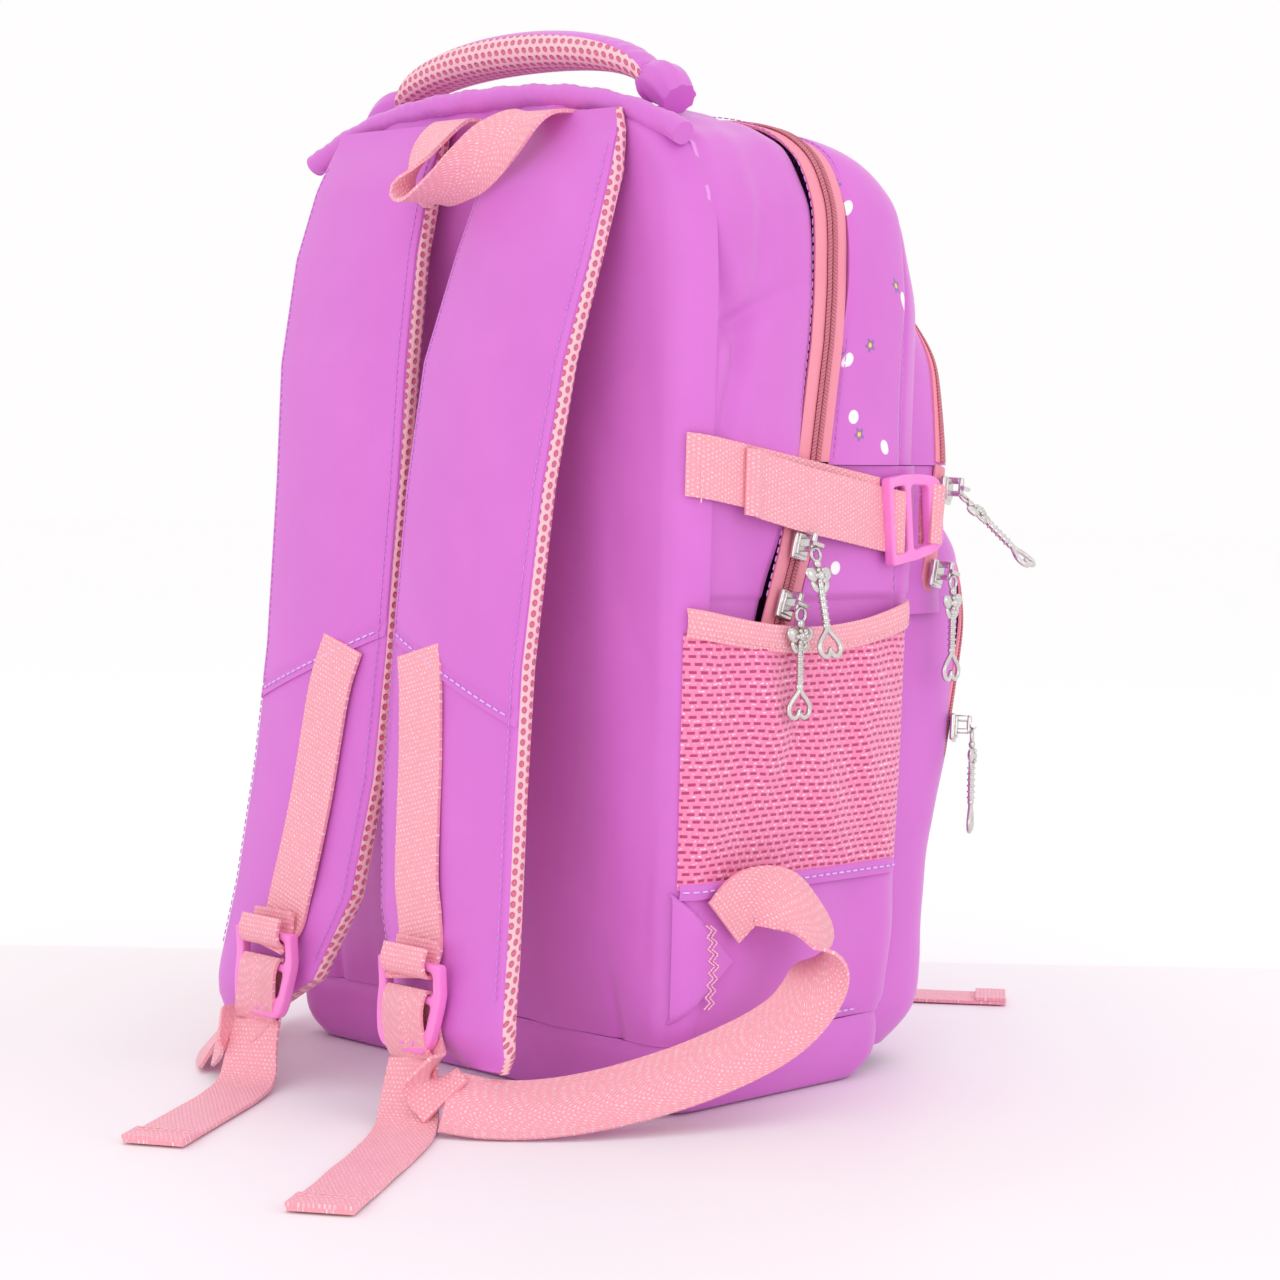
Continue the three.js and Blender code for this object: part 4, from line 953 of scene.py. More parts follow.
heights = np.concatenate([np.linspace(23.2, 44, 26), np.linspace(46, 400.5, 156)])
uGrid, zGrid = np.meshgrid(0.5 - 0.5 * np.cos(np.linspace(0, math.pi, 37)), heights)
for side, word in ((1, "right"), (-1, "left")):
    body = word + "_strap"
    cover = coverPoint(uGrid, zGrid, side)
    cover[0, :, 1] += 3.0
    lower = gridPiece(word + "StrapCover", sameSide(cover, (side * 45, -60, 200)), orchidCloth, 0.9)
    settle(lower, body, [word + "_strap_pad"])
    # overlay on the upper two thirds, its lower edge slanting outwards and down
    seam = strap["seamIn"] + (strap["seamOut"] - strap["seamIn"]) * uGrid[0]
    share = np.linspace(0, 1, 130)[:, None]
    zOver = seam[None, :] + share * (400.2 - seam[None, :])
    uOver = np.broadcast_to(uGrid[0], zOver.shape)
    over = coverPoint(uOver, zOver, side, 0.95)
    over[..., 1] += 0.8 * np.exp(-(((zOver - seam) - 5) / 1.6) ** 2)
    over = sameSide(over, (side * 45, -60, 260))
    upper = gridPiece(word + "StrapOverlay", over, orchidCloth, 0.8)
    settle(upper, body)
    # spacer mesh: up the inner edge, across the underside, up the outer edge
    rows = []
    for height in heights:
        inner, outer, under = strapAt(height)
        edge = (padDepth(0.0, height) + 0.4) * 1.0
        turnAt = np.linspace(0, math.pi, 13)
        bulge = 1.5
        innerEdge = np.stack([inner + 0.6 - bulge * np.sin(turnAt),
                              under - edge * (1 + np.cos(turnAt)) / 2], axis=1)
        outerEdge = np.stack([outer - 0.6 + bulge * np.sin(turnAt),
                              under - edge * (1 + np.cos(turnAt)) / 2], axis=1)
        flat = np.stack([np.linspace(inner + 1.5, outer - 1.5, 16), np.full(16, under - 0.15)], axis=1)
        line = np.vstack([innerEdge, flat, outerEdge[::-1]])
        line = np.hstack([line * (side, 1), np.full((len(line), 1), height)])
        rows.append(resample(line, 64))
    rows = np.array(rows)
    underside = gridPiece(word + "StrapMesh", sameSide(rows, (side * 45, -116, 200)), spacerCloth, 0.7)
    settle(underside, body, [word + "_strap_mesh"])
    # stitching along the mesh and across the overlay's edge
    for label, at in (("Inner", 0.035), ("Outer", 0.965)):
        line = coverPoint(np.full(160, at), np.linspace(52, 386, 160), side, 1.0)
        stitches(word + "Strap" + label + "Stitch", line, (0.2 * side * (1 if at > 0.5 else -1), -1, 0),
                 stitchThread,
                 body, 3.2, 2.3, 0.26, 0.1)
    u = np.linspace(0.05, 0.95, 40)
    line = coverPoint(u, strap["seamIn"] + (strap["seamOut"] - strap["seamIn"]) * u + 3, side, 1.1)
    stitches(word + "StrapSeamStitch", line, (0, -1, 0), paleThread, body, 3.8, 2.8, 0.34,
             0.15)
print("straps padded")

# Webbing
webbing = {"wide": 25.0, "thick": 1.5}


def routed(route):
    # middle and width direction of a [middle, direction] route, spaced evenly along it
    table = np.array([list(at) + list(np.array(way) / np.linalg.norm(way)) for at, way in route], float)
    line = curveThrough(table)
    length = np.linalg.norm(np.diff(line[:, :3], axis=0), axis=1).sum()
    line = resample(line, max(12, int(length / 1.8)))
    middleOf, wide = line[:, :3], line[:, 3:]
    ahead = np.gradient(middleOf, axis=0)
    ahead /= np.linalg.norm(ahead, axis=1, keepdims=True)
    wide = wide - ahead * np.sum(wide * ahead, axis=1, keepdims=True)
    wide /= np.linalg.norm(wide, axis=1, keepdims=True)
    return middleOf, wide, np.cross(wide, ahead)


def ribbonPiece(name, route, body, node=(), wide=None, thick=None, seed=1, lift=0.0, ripple=0.25,
                material=None):
    wide = wide or webbing["wide"]
    middleOf, side, normal = routed(route)
    u = np.linspace(-0.5, 0.5, 9)
    run = np.arange(len(middleOf)) * 1.8
    wave = folds(run, 0 * run, seed, 9) * ripple + lift
    points = middleOf[:, None] + side[:, None] * (u * wide)[None, :, None] + normal[:, None] * (
        wave[:, None] * (1 - 0.4 * np.abs(u))[None, :] + 0.25 * (np.abs(2 * u) ** 8)[None, :] * 0)[..., None]
    made = gridPiece(name, points, material or webCloth, thick or webbing["thick"], offset=0.0)
    return settle(made, body, node)


def crossStitch(name, at, wide, ahead, up, body, rows=2, long=11, thread=None):
    # rows of stitches across a strap that ends here
    at, wide, ahead, up = (np.array(part, float) for part in (at, wide, ahead, up))
    made = []
    for k in range(rows):
        line = at + ahead * k * 3.2 + np.linspace(-0.45, 0.45, 12)[:, None] * wide * 25
        made.append(stitches(name + str(k), line, up, thread or pinkThread, body, 3.0, 2.1,
                             0.26, 0.1))
    return made


hingeY = -143.1
strapWeb = [(184, 24), (170, 28), (145, 31.5), (120, 34), (92, 38), (80, 41), (66, 44)]
lowerRoute = [
    ((124.9, -47, 78), (0, 0.77, -0.64)), ((129, -36, 88), (0.15, 0.77, -0.62)),
    ((138, -20, 84), (0.5, 0.3, -0.8)),
    ((147, -10, 66), (0.45, -0.35, -0.82)), ((146, -26, 42), (0.2, -0.3, -0.93)),
    ((134, -66, 24), (0.35, -0.35, -0.85)), ((110, -113, 12.5), (0.45, -0.45, -0.76)),
    ((88, -137.5, 10.5), (0.42, -0.48, -0.77)), ((73.5, -148, 12.5), (0.3, -0.45, -0.84))]
tails = {
    "right": [((50, -144.1, 25.8), (1, 0.1, 0)), ((53, -149, 13), (1, 0.25, 0)),
              ((61, -157, 3.4), (0.95, 0.4, 0)),
              ((76, -175, 1.3), (0.85, 0.53, 0)), ((106, -218, 1.3), (0.83, 0.55, 0)),
              ((133, -258, 1.3), (0.83, 0.55, 0))],
    "left": [((-50, -144.1, 25.8), (1, 0.1, 0)), ((-47, -150, 13), (1, 0.25, 0)),
             ((-40, -158, 3.4), (0.95, 0.4, 0)),
             ((-27, -176, 1.3), (0.85, 0.53, 0)), ((-6, -210, 1.3), (0.84, 0.54, 0)),
             ((15, -244, 1.3), (0.84, 0.54, 0))]}
for side, word in ((1, "right"), (-1, "left")):
    body = word + "_strap"
    route = []
    for height, x in strapWeb:
        inner, outer, under = strapAt(height)
        u = (x - inner) / (outer - inner)
        depth = float(padDepth(u, height)) + (1.5 if height < 175 else 1.0)
        step = 0.5 if height in (92,) else 0.0
        route.append(((side * x, under - depth - step, height), (1, 0, 0.1 * side)))
    route.append(((side * 46, hingeY - 1.0, 57), (1, 0, 0)))
    ribbonPiece(word + "StrapWebbing", route, body, [word + "_strap_webbing"], seed=81, ripple=0.3)
    mirrorRoute = [((at[0] * side, at[1], at[2]), (way[0] * side, way[1], way[2])) for at, way in lowerRoute]
    lower = ribbonPiece(word + "LowerWebbing", mirrorRoute, "bag", [word + "_lower_webbing"], seed=83,
                        ripple=0.5)
    ribbonPiece(word + "StrapTail", tails[word], body, [word + "_strap_tail"], seed=85 + side, ripple=0.15)
    middleOf, wide, normal = routed(tails[word])
    hem = [(tuple(middleOf[k] + (0, 0, 1.5)), tuple(wide[k])) for k in (-9, -6, -3, -1)]
    ribbonPiece(word + "TailHem", hem, body, seed=87, ripple=0.0)
    ahead = middleOf[-1] - middleOf[-5]
    ahead /= np.linalg.norm(ahead)
    crossStitch(word + "TailStitch", middleOf[-8] + (0, 0, 2.3), wide[-1], ahead, (0, 0, 1), body)
    inner, outer, under = strapAt(184)

loopRoute = [
    ((-7, -70.4, 400), (1, 0, 0)), ((-7, -79, 400), (1, 0, 0)), ((-6, -92, 390), (1, -0.15, 0)),
    ((-5, -101, 376), (0.75, -0.65, -0.1)), ((-2, -105, 367), (0.2, -0.97, -0.1)),
    ((6, -105, 365.5), (-0.3, -0.95, 0)), ((22, -102, 373), (-0.75, -0.6, -0.2)),
    ((40, -96.5, 388), (-0.9, -0.4, -0.1)), ((50, -86, 399), (-1, -0.1, 0)), ((50, -70.4, 400.5), (-1, 0, 0))]
ribbonPiece("hangingLoop", loopRoute, "loop", ["hanging_loop"], wide=22, seed=89)

sideTail = [
    ((-127.4, 62.5, 218.5), (0.1, 1, 0)), ((-131.5, 62.5, 205), (0.05, 1, 0)),
    ((-131.5, 64, 160), (0.05, 1, 0)),
    ((-132, 70, 90), (-0.1, 1, 0)), ((-130, 84, 36), (-0.3, 0.95, 0)), ((-120, 100, 8), (-0.45, 0.89, 0)),
    ((-100, 118, 2.1), (-0.6, 0.8, 0)), ((-60, 149, 1.3), (-0.62, 0.78, 0)),
    ((0, 195, 1.3), (-0.62, 0.78, 0)),
    ((50, 234, 1.3), (-0.62, 0.78, 0))]
ribbonPiece("leftSideTail", sideTail, "bag", ["left_compression_tail"], seed=91)
middleOf, wide, normal = routed(sideTail)
hem = [(tuple(middleOf[k] + (0, 0, 1.5)), tuple(wide[k])) for k in (-9, -6, -3, -1)]
ribbonPiece("sideTailHem", hem, "bag", seed=87, ripple=0.0)

sideStrap = {"top0": 273.0, "top1": 255.6, "y0": -67.0, "y1": 42.8, "foldY": -40.0}
for side, word in ((1, "right"), (-1, "left")):
    y = np.linspace(sideStrap["y0"], sideStrap["y1"], 70)
    top = np.interp(y, (-67, 42.8), (273, 255.6))
    drop = np.linspace(0, 25, 9)
    grid = np.stack([np.zeros((70, 9)), np.repeat(y[:, None], 9, 1), top[:, None] - drop[None, :]], axis=2)
    grid[..., 0] = side * (halfWidth(bagShape, grid[..., 1], grid[..., 2]) + 1.9)
    under = gridPiece(word + "SideStrap", sameSide(grid, core), webCloth, 1.4, offset=0.6)
    settle(under, "bag", [word + "_compression_strap"])
    y = np.concatenate([np.linspace(-40, -34, 10), np.linspace(-32, sideStrap["y1"] + 14, 54)])
    top = np.interp(y, (-67, 57), (271.0, 251.0)) - 2.0 * smooth(y, -40, 0)
    bow = 3.0 + 2.6 * np.exp(-((y + 36) / 3.2) ** 2) + 2.4 * np.sin(np.clip((y + 34) / 74, 0, 1) * math.pi)
    bow += folds(y, 0 * y, 93, 7) * 0.35 + 1.6 * smooth(y, 42, 56)
    drop = np.linspace(-0.6, 26, 9)
    grid = np.stack([np.zeros((64, 9)), np.repeat(y[:, None], 9, 1), top[:, None] - drop[None, :]], axis=2)
    grid[..., 0] = side * (halfWidth(bagShape, np.minimum(grid[..., 1], 50), grid[..., 2]) + bow[:, None])
    fold = gridPiece(word + "SideStrapFold", sameSide(grid, core), webCloth, 1.4, offset=0.6)
    settle(fold, "bag", ())
    for at in (-63, -43):
        line = np.stack([np.full(12, side * (float(halfWidth(bagShape, at, 260)) + 3.0)),
                         np.full(12, float(at)),
                         np.linspace(top[0] - 1.5, top[0] - 22, 12)], axis=1)
        if at == -63:
            stitches(word + "SideStrapStitch", line, (side, 0, 0), pinkThread, "bag", 3,
                     2.1, 0.28)
print("webbing laid")

# Padded grab handle, its ends, and the rolled top edge
handle = {"y": -45.0, "reach": 76.0, "base": 409.0, "rise": 19.0, "wide": 28.0}


def handleRings(profile, count=110):
    rows = []
    for v in np.linspace(0, 1, count):
        arch = max(math.sin(math.pi * v), 1e-4)
        x = -handle["reach"] + 2 * handle["reach"] * v
        rise = handle["rise"] * arch ** 0.62 - 6.0 * arch ** 1.2
        wide = (0.5 + 0.5 * arch ** 0.4) * handle["wide"] / 2
        thin = 0.5 + 0.5 * arch ** 0.5
        pucker = 0.55 * math.sin(x * 1.1) * (1 - smooth(arch, 0.0, 0.75))
        section = profile(thin, pucker)
        rows.append(np.stack([np.full(len(section), x), handle["y"] + section[:, 0] * wide,
                              handle["base"] + rise + section[:, 1]], axis=1))
    return np.array(rows)


def overTop(thin, pucker):
    # from the rear edge over the crown to the lower front edge
    turnAt = np.linspace(math.radians(148), math.radians(-62), 26)
    y = np.cos(turnAt) * 0.98
    z = 9.6 * thin + np.sin(turnAt) * (8.0 * thin + pucker * 0.8)
    return np.stack([np.sign(y) * np.abs(y) ** 0.8, z], axis=1)


def underneath(thin, pucker):
    # from the rear edge down and across the underside
    turnAt = np.linspace(math.radians(142), math.radians(300), 26)
    y = np.cos(turnAt) * 0.98
    z = 9.6 * thin + np.sin(turnAt) * (8.6 * thin)
    return np.stack([np.sign(y) * np.abs(y) ** 0.7, z], axis=1)


rings = handleRings(overTop)
cover = gridPiece("handleCover", sameSide(rings, (0, -45, 418)), orchidCloth, 1.2)
settle(cover, "handle", ["grab_handle"])
rings = handleRings(underneath)
under = gridPiece("handleMesh", sameSide(rings, (0, -45, 421)), spacerCloth, 0.8)
settle(under, "handle", ["grab_handle_mesh"])


def tubePiece(name, path, radius, material, sides=18, squash=1.0, cap=True):
    # radius is a function of the share along and the angle
    path = np.asarray(path, float)
    ahead = np.gradient(path, axis=0)
    ahead /= np.linalg.norm(ahead, axis=1, keepdims=True)
    across = np.cross(ahead, (0, 0.02, 1.0))
    across /= np.linalg.norm(across, axis=1, keepdims=True)
    up = np.cross(across, ahead)
    angle = np.linspace(0, 2 * math.pi, sides + 1)
    share = np.linspace(0, 1, len(path))
    size = radius(share[:, None], angle[None, :])
    points = path[:, None] + (across[:, None] * np.cos(angle)[None, :, None] +
                              up[:, None] * np.sin(angle)[None, :, None] * squash) * size[..., None]
    if cap:
        points = np.vstack([np.broadcast_to(path[0], points[:1].shape), points,
                            np.broadcast_to(path[-1], points[:1].shape)])
    made = gridPiece(name, points, material)
    bpy.ops.object.mode_set(mode="EDIT")
    bpy.ops.mesh.select_all(action="SELECT")
    bpy.ops.mesh.remove_doubles(threshold=0.00003)
    bpy.ops.mesh.normals_make_consistent(inside=False)
    bpy.ops.object.mode_set(mode="OBJECT")
    return made


def bindingPath(x):
    return np.stack([x, np.full_like(x, -65.5), 410 - 23 * (np.abs(x) / 118) ** 2.6], axis=1)


gather = lambda share, angle: 4.9 + 0.16 * np.sin(share * 240 + angle * 2) * (0.4 + 0.6 * np.abs(
    np.cos(share * 9))) + 0.3 * np.sin(share * 71 + angle)
binding = tubePiece("topBinding", bindingPath(np.linspace(-114, 114, 260)), gather, orchidCloth)
settle(binding, "bag", ["top_binding"])
for side, word in ((1, "right"), (-1, "left")):
    path = curveThrough([(side * 73, -45, 412.5), (side * 79, -45, 413.5), (side * 86, -46, 411),
                         (side * 93, -47, 405)], 16)
    swell = lambda share, angle: (7.2 + 1.4 * np.sin(share * math.pi) + 0.35 * np.sin(angle * 9 + share * 3) *
                                  (0.4 + share))
    end = tubePiece(word + "HandleEnd", path, swell, orchidCloth, 28)
    settle(end, "bag", [word + "_handle_end"])
print("handle and binding made")

# Side mesh pockets, their elastic, and the webbing's anchor tabs
sidePocket = {"rear": -66, "front": 66, "low": 92, "rim": 193, "top": 205, "sag": 9, "mouth": 6}


def pocketGrid(side, lowAt, highAt, rise, rows, columns, drape):
    v, u = np.meshgrid(np.linspace(0, 1, rows), np.linspace(0, 1, columns), indexing="ij")
    y = sidePocket["rear"] + u * (sidePocket["front"] - sidePocket["rear"])
    plain = lowAt + v * (highAt - lowAt)
    span = sidePocket["top"] - sidePocket["low"]
    z = plain - sidePocket["sag"] * np.sin(np.pi * u) * (plain - sidePocket["low"]) / span
    share = (z - sidePocket["low"]) / span
    belly = np.sin(np.pi * u) ** 0.5 * (0.25 + 0.75 * np.sin(np.pi / 2 * np.minimum(1, share * 1.6)))
    x = halfWidth(bagShape, np.clip(y, -66, 90), z) + 0.9 + sidePocket["mouth"] * belly * np.minimum(1,
            share * 6) + rise
    hang = np.sin(np.pi * u) ** 0.6 * np.sin(np.pi * np.clip(share, 0, 1)) ** 0.7
    if drape:
        x += hang * (1.9 * folds(y, z * 0.35, 101, 9) + 1.1 * folds(y + 0.6 * z, z * 0.2, 102, 12))
        x += 3.2 * hang * crease(z, (y - 30) + 0.45 * (z - 150), 160, 30, 7)
        x -= 1.8 * hang * crease(z, (y + 8) - 0.5 * (z - 150), 150, 32, 6)
    else:
        x += 0.5 * folds(y, 0 * y, 103, 8) * np.sin(np.pi * u)
    return np.stack([x * side, y, z], axis=-1)


for side, word in ((1, "right"), (-1, "left")):
    grid = pocketGrid(side, sidePocket["low"], sidePocket["rim"] + 1, 0, 90, 110, True)
    net = gridPiece(word + "PocketNet", sameSide(grid, core), pocketCloth, 1.0)
    settle(net, "bag", [word + "_mesh_pocket"])
    grid = pocketGrid(side, sidePocket["rim"] - 0.6, sidePocket["top"] - 0.8, 0.9, 9, 110, False)
    swell = np.sin(np.linspace(0.05, 0.95, 9) * math.pi) ** 0.5 * 1.5
    grid[..., 0] += side * swell[:, None]
    rim = gridPiece(word + "PocketElastic", sameSide(grid, core), webCloth, 1.6)
    settle(rim, "bag", [word + "_pocket_elastic"])
    line = pocketGrid(side, sidePocket["rim"] + 1.6, sidePocket["rim"] + 1.7, 2.7, 2, 110, False)[0]
    stitches(word + "RimStitch", line, (side, 0, 0), pinkThread, "bag", 3.6, 2.6, 0.24, 0.1)
    y = np.linspace(-66, 62, 90)
    foot = np.stack([side * (halfWidth(bagShape, y, 92) + 1.9), y, np.full(90, 91.0)], axis=1)
    hemGrid = np.array([foot + (side * rise, 0, dz) for dz, rise in ((-3.2, -1.4), (-2.8, 0.2), (0, 0.7),
                                                                     (2.6, 0.5),
                                                                  (3.4, -0.4))])
    footHem = gridPiece(word + "PocketFoot", sameSide(hemGrid, core), orchidCloth, 0.6)
    settle(footHem, "bag")
    stitches(word + "FootStitch", foot + (side * 0.8, 0, 0.4), (side, 0, 0), paleThread, "bag",
             4.2,
             3.0, 0.36, 0.2)
    # triangular tab, wide at the rear seam
    v, u = np.meshgrid(np.linspace(0, 1, 26), np.linspace(0, 1, 26), indexing="ij")
    y = -68 + v * 31
    z = (38 + 23 * v) * (1 - u) + (91 - 30 * v) * u
    edge = np.minimum(np.minimum(u, 1 - u) * (53 * (1 - v) + 1), (1 - v) * 31 + 0)
    x = halfWidth(bagShape, y, z) + 1.2 + 1.9 * smooth(edge, 0, 2.6)
    tab = gridPiece(word + "AnchorTab", sameSide(np.stack([x * side, y, z], axis=-1), core), orchidCloth, 1.0)
    settle(tab, "bag", [word + "_anchor_tab"])
    for part, share in enumerate((0.52, 0.6)):
        zigzag = []
        for k in range(15):
            zz = 46 + 34 * k / 14 - share * 4
            yy = -68 + 31 * share + (1.6 if k % 2 else -1.6) - 0.35 * abs(k - 7)
            zigzag.append((side * (float(halfWidth(bagShape, yy, zz)) + 3.2), yy, zz))
        stitches(word + "Bartack" + str(part), resample(zigzag, 120), (side, 0, 0), pinkThread, "bag",
                 1.5, 1.4, 0.3, 0.1)
print("side pockets hung")

# Ladder-lock buckles
lock = {"wide": 37.0, "tall": 36.0, "thick": 5.0, "bar": 3.4, "round": 1.15}


def roundedOutline(points, radius, steps=6):
    made = []
    count = len(points)
    for k, corner in enumerate(points):
        corner = np.array(corner, float)
        before = np.array(points[k - 1], float) - corner
        after = np.array(points[(k + 1) % count], float) - corner
        reach = min(radius, np.linalg.norm(before) * 0.48, np.linalg.norm(after) * 0.48)
        a = corner + before / np.linalg.norm(before) * reach
        b = corner + after / np.linalg.norm(after) * reach
        for share in np.linspace(0, 1, steps):
            made.append((1 - share) ** 2 * a + 2 * share * (1 - share) * corner + share ** 2 * b)
    return made


def platePiece(name, outlines, thick, rounding, material):
    # a flat plate with holes, its edges rounded, standing in X and Z about Y = 0
    data = bpy.data.curves.new(name, "CURVE")
    data.dimensions = "2D"
    data.fill_mode = "BOTH"
    data.extrude = (thick / 2 - rounding) * 0.001
    data.bevel_depth = rounding * 0.001
    data.bevel_resolution = 3
    data.offset = -rounding * 0.001
    for outline in outlines:
        spline = data.splines.new("POLY")
        spline.points.add(len(outline) - 1)
        for point, (x, z) in zip(spline.points, outline):
            point.co = (x * 0.001, z * 0.001, 0, 1)
        spline.use_cyclic_u = True
    made = bpy.data.objects.new(name, data)
    bpy.context.scene.collection.objects.link(made)
    bpy.ops.object.select_all(action="DESELECT")
    made.select_set(True)
    bpy.context.view_layer.objects.active = made
    bpy.ops.object.convert(target="MESH")
    made = bpy.context.object
    made.data.transform(Matrix.Rotation(math.pi / 2, 4, "X"))
    bpy.ops.object.mode_set(mode="EDIT")
    bpy.ops.mesh.select_all(action="SELECT")
    bpy.ops.mesh.remove_doubles(threshold=0.00002)
    bpy.ops.mesh.normals_make_consistent(inside=False)
    bpy.ops.object.mode_set(mode="OBJECT")
    made.data.materials.clear()
    made.data.materials.append(material)
    bpy.ops.object.shade_smooth_by_angle(angle=math.radians(40))
    return made


def ladderLock(name):
    w, h, bar = lock["wide"] / 2, lock["tall"] / 2, lock["bar"]
    outer = roundedOutline([(-w, h - 1), (-w + 1, h), (w - 1, h), (w, h - 1), (w, 0), (w - 2.5, -h + 5),
                            (w - 6, -h),
                            (-w + 6, -h), (-w + 2.5, -h + 5), (-w, 0)], 7)
    upper = roundedOutline([(-w + 4.4, h - bar), (-w + 4.4, h - bar - 9.5), (w - 4.4, h - bar - 9.5),
                            (w - 4.4, h - bar)], 2.2)
    lower = roundedOutline([(-w + 4.6, h - 2 * bar - 9.5), (-w + 6.2, -h + 9), (w - 6.2, -h + 9),
                            (w - 4.6, h - 2 * bar - 9.5)], 2.2)
    frameMade = platePiece(name, [outer, upper, lower], lock["thick"], lock["round"], bucklePlastic)
    parts = [frameMade]
    for x in (-6.4, 6.4):
        tip = roundedOutline([(x - 3.2, -h + 7.4), (x + 3.2, -h + 7.4), (x, -h + 2.6)], 0.8, 4)
        mark = platePiece(name + "Mark", [tip], 1.0, 0.3, bucklePlastic)
        mark.data.transform(Matrix.Translation((0, -0.0026, 0)))
        parts.append(mark)
    bpy.ops.object.select_all(action="DESELECT")
    bpy.ops.mesh.primitive_uv_sphere_add(segments=14, ring_count=8, radius=0.0012,
                                         location=(0, -0.0024, (-h + 4) * 0.001))
    bpy.context.object.data.materials.append(bucklePlastic)
    bpy.ops.object.transform_apply(location=True, rotation=True, scale=True)
    parts.append(bpy.context.object)
    made = joined(name, parts)
    # side bars bow in an S, and the lip kicks out
    for vertex in made.data.vertices:
        x, y, z = vertex.co
        z0 = z * 1000
        vertex.co.y = y + 0.0011 * math.sin(z0 / 18 * math.pi) - 0.00011 * max(0.0, -z0 - 7) ** 1.15
    return made


for side, word in ((1, "right"), (-1, "left")):
    made = ladderLock(word + "LadderLock")
    made.data.transform(Matrix.Translation((side * 0.0465, hingeY * 0.001, 0.046)))
    settle(made, word + "_ladder_lock", [word + "_strap_buckle"])
    made = ladderLock(word + "SideLock")
    turned = Matrix.Rotation(0.1, 4, "Z") @ Matrix.Rotation(math.pi / 2 + 0.12, 4, "X") @ Matrix.Rotation(
        math.pi / 2, 4, "Z")
    made.data.transform(Matrix.Translation((0.1265, 0.0625, 0.239)) @ turned)
    if side < 0:
        made.data.transform(Matrix.Diagonal((-1, 1, 1, 1)))
        made.data.flip_normals()
    settle(made, word + "_side_lock", [word + "_compression_buckle"])
    # sewn end rolled round the top bar, and the free webbing over the middle bar
    rolled = [((side * 46, -145.6, 70), (1, 0, 0)), ((side * 46, -147.4, 63), (1, 0, 0)),
              ((side * 46, -145.4, 58.6), (1, 0, 0)), ((side * 46, -141.4, 58.6), (1, 0, 0)),
              ((side * 46, -139.6, 64), (1, 0, 0)), ((side * 46, -139.2, 72), (1, 0, 0))]
    ribbonPiece(word + "LockRoll", rolled, word + "_strap", seed=95, ripple=0.0)
    free = [((side * 73.5, -148, 12.5), (0.3 * side, -0.45, -0.84)),
            ((side * 62, -146.5, 19), (0.75 * side, -0.3, -0.55)),
            ((side * 53, -142.6, 28), (0.98, 0, 0.12)), ((side * 47.5, -140.2, 40), (1, 0, 0)),
            ((side * 46.5, -141.4, 50.5), (1, 0, 0)), ((side * 46.5, -144.4, 52.8), (1, 0, 0)),
            ((side * 46.5, -147.0, 49), (1, 0, 0)), ((side * 47, -147.6, 38), (1, 0, 0)),
            ((side * 49, -146.4, 29), (1, 0.05, 0)), ((side * 50, -144.2, 25), (1, 0.1, 0))]
    if side < 0:
        free = [(at, (way[0] if k > 1 else way[0], way[1], way[2])) for k, (at, way) in enumerate(free)]
        free[0] = (free[0][0], (0.3, 0.45, 0.84))
        free[1] = (free[1][0], (0.75, 0.3, 0.55))
    ribbonPiece(word + "LockFree", free, word + "_strap", seed=97, ripple=0.0, wide=23.5)
    stub = [((side * 129.2, 72.0, 240.5), (0, 0.1, 1)), ((side * 130.6, 76.5, 240.2), (0.1, 0, 1)),
            ((side * 128.6, 79.6, 240), (0.1, 0, 1)), ((side * 124.8, 79.0, 240), (0.1, 0, 1)),
            ((side * 122.6, 72.5, 240), (0, 0, 1))]
    ribbonPiece(word + "SideLockRoll", stub, word + "_side_lock", seed=99, ripple=0.0)
print("buckles moulded")

# Zip sliders and charm pulls
pull = {"long": 46.0, "ring": 3.0, "crown": 11.4}


def primitive(kind, material, **values):
    bpy.ops.object.select_all(action="DESELECT")
    getattr(bpy.ops.mesh, "primitive_" + kind + "_add")(**values)
    made = bpy.context.object
    made.data.materials.append(material)
    bpy.ops.object.transform_apply(location=True, rotation=True, scale=True)
    bpy.ops.object.shade_smooth_by_angle(angle=math.radians(45))
    return made


def ball(radius, place, scale=(1, 1, 1), turnBy=(0, 0, 0)):
    return primitive("uv_sphere", nickelMetal, segments=14, ring_count=8, radius=radius * 0.001,
                     location=Vector(place) * 0.001, scale=scale, rotation=turnBy)


def hoop(major, minor, place, turnBy=(0, math.pi / 2, 0)):
    return primitive("torus", nickelMetal, major_radius=major * 0.001, minor_radius=minor * 0.001,
                     major_segments=24, minor_segments=8, location=Vector(place) * 0.001, rotation=turnBy)


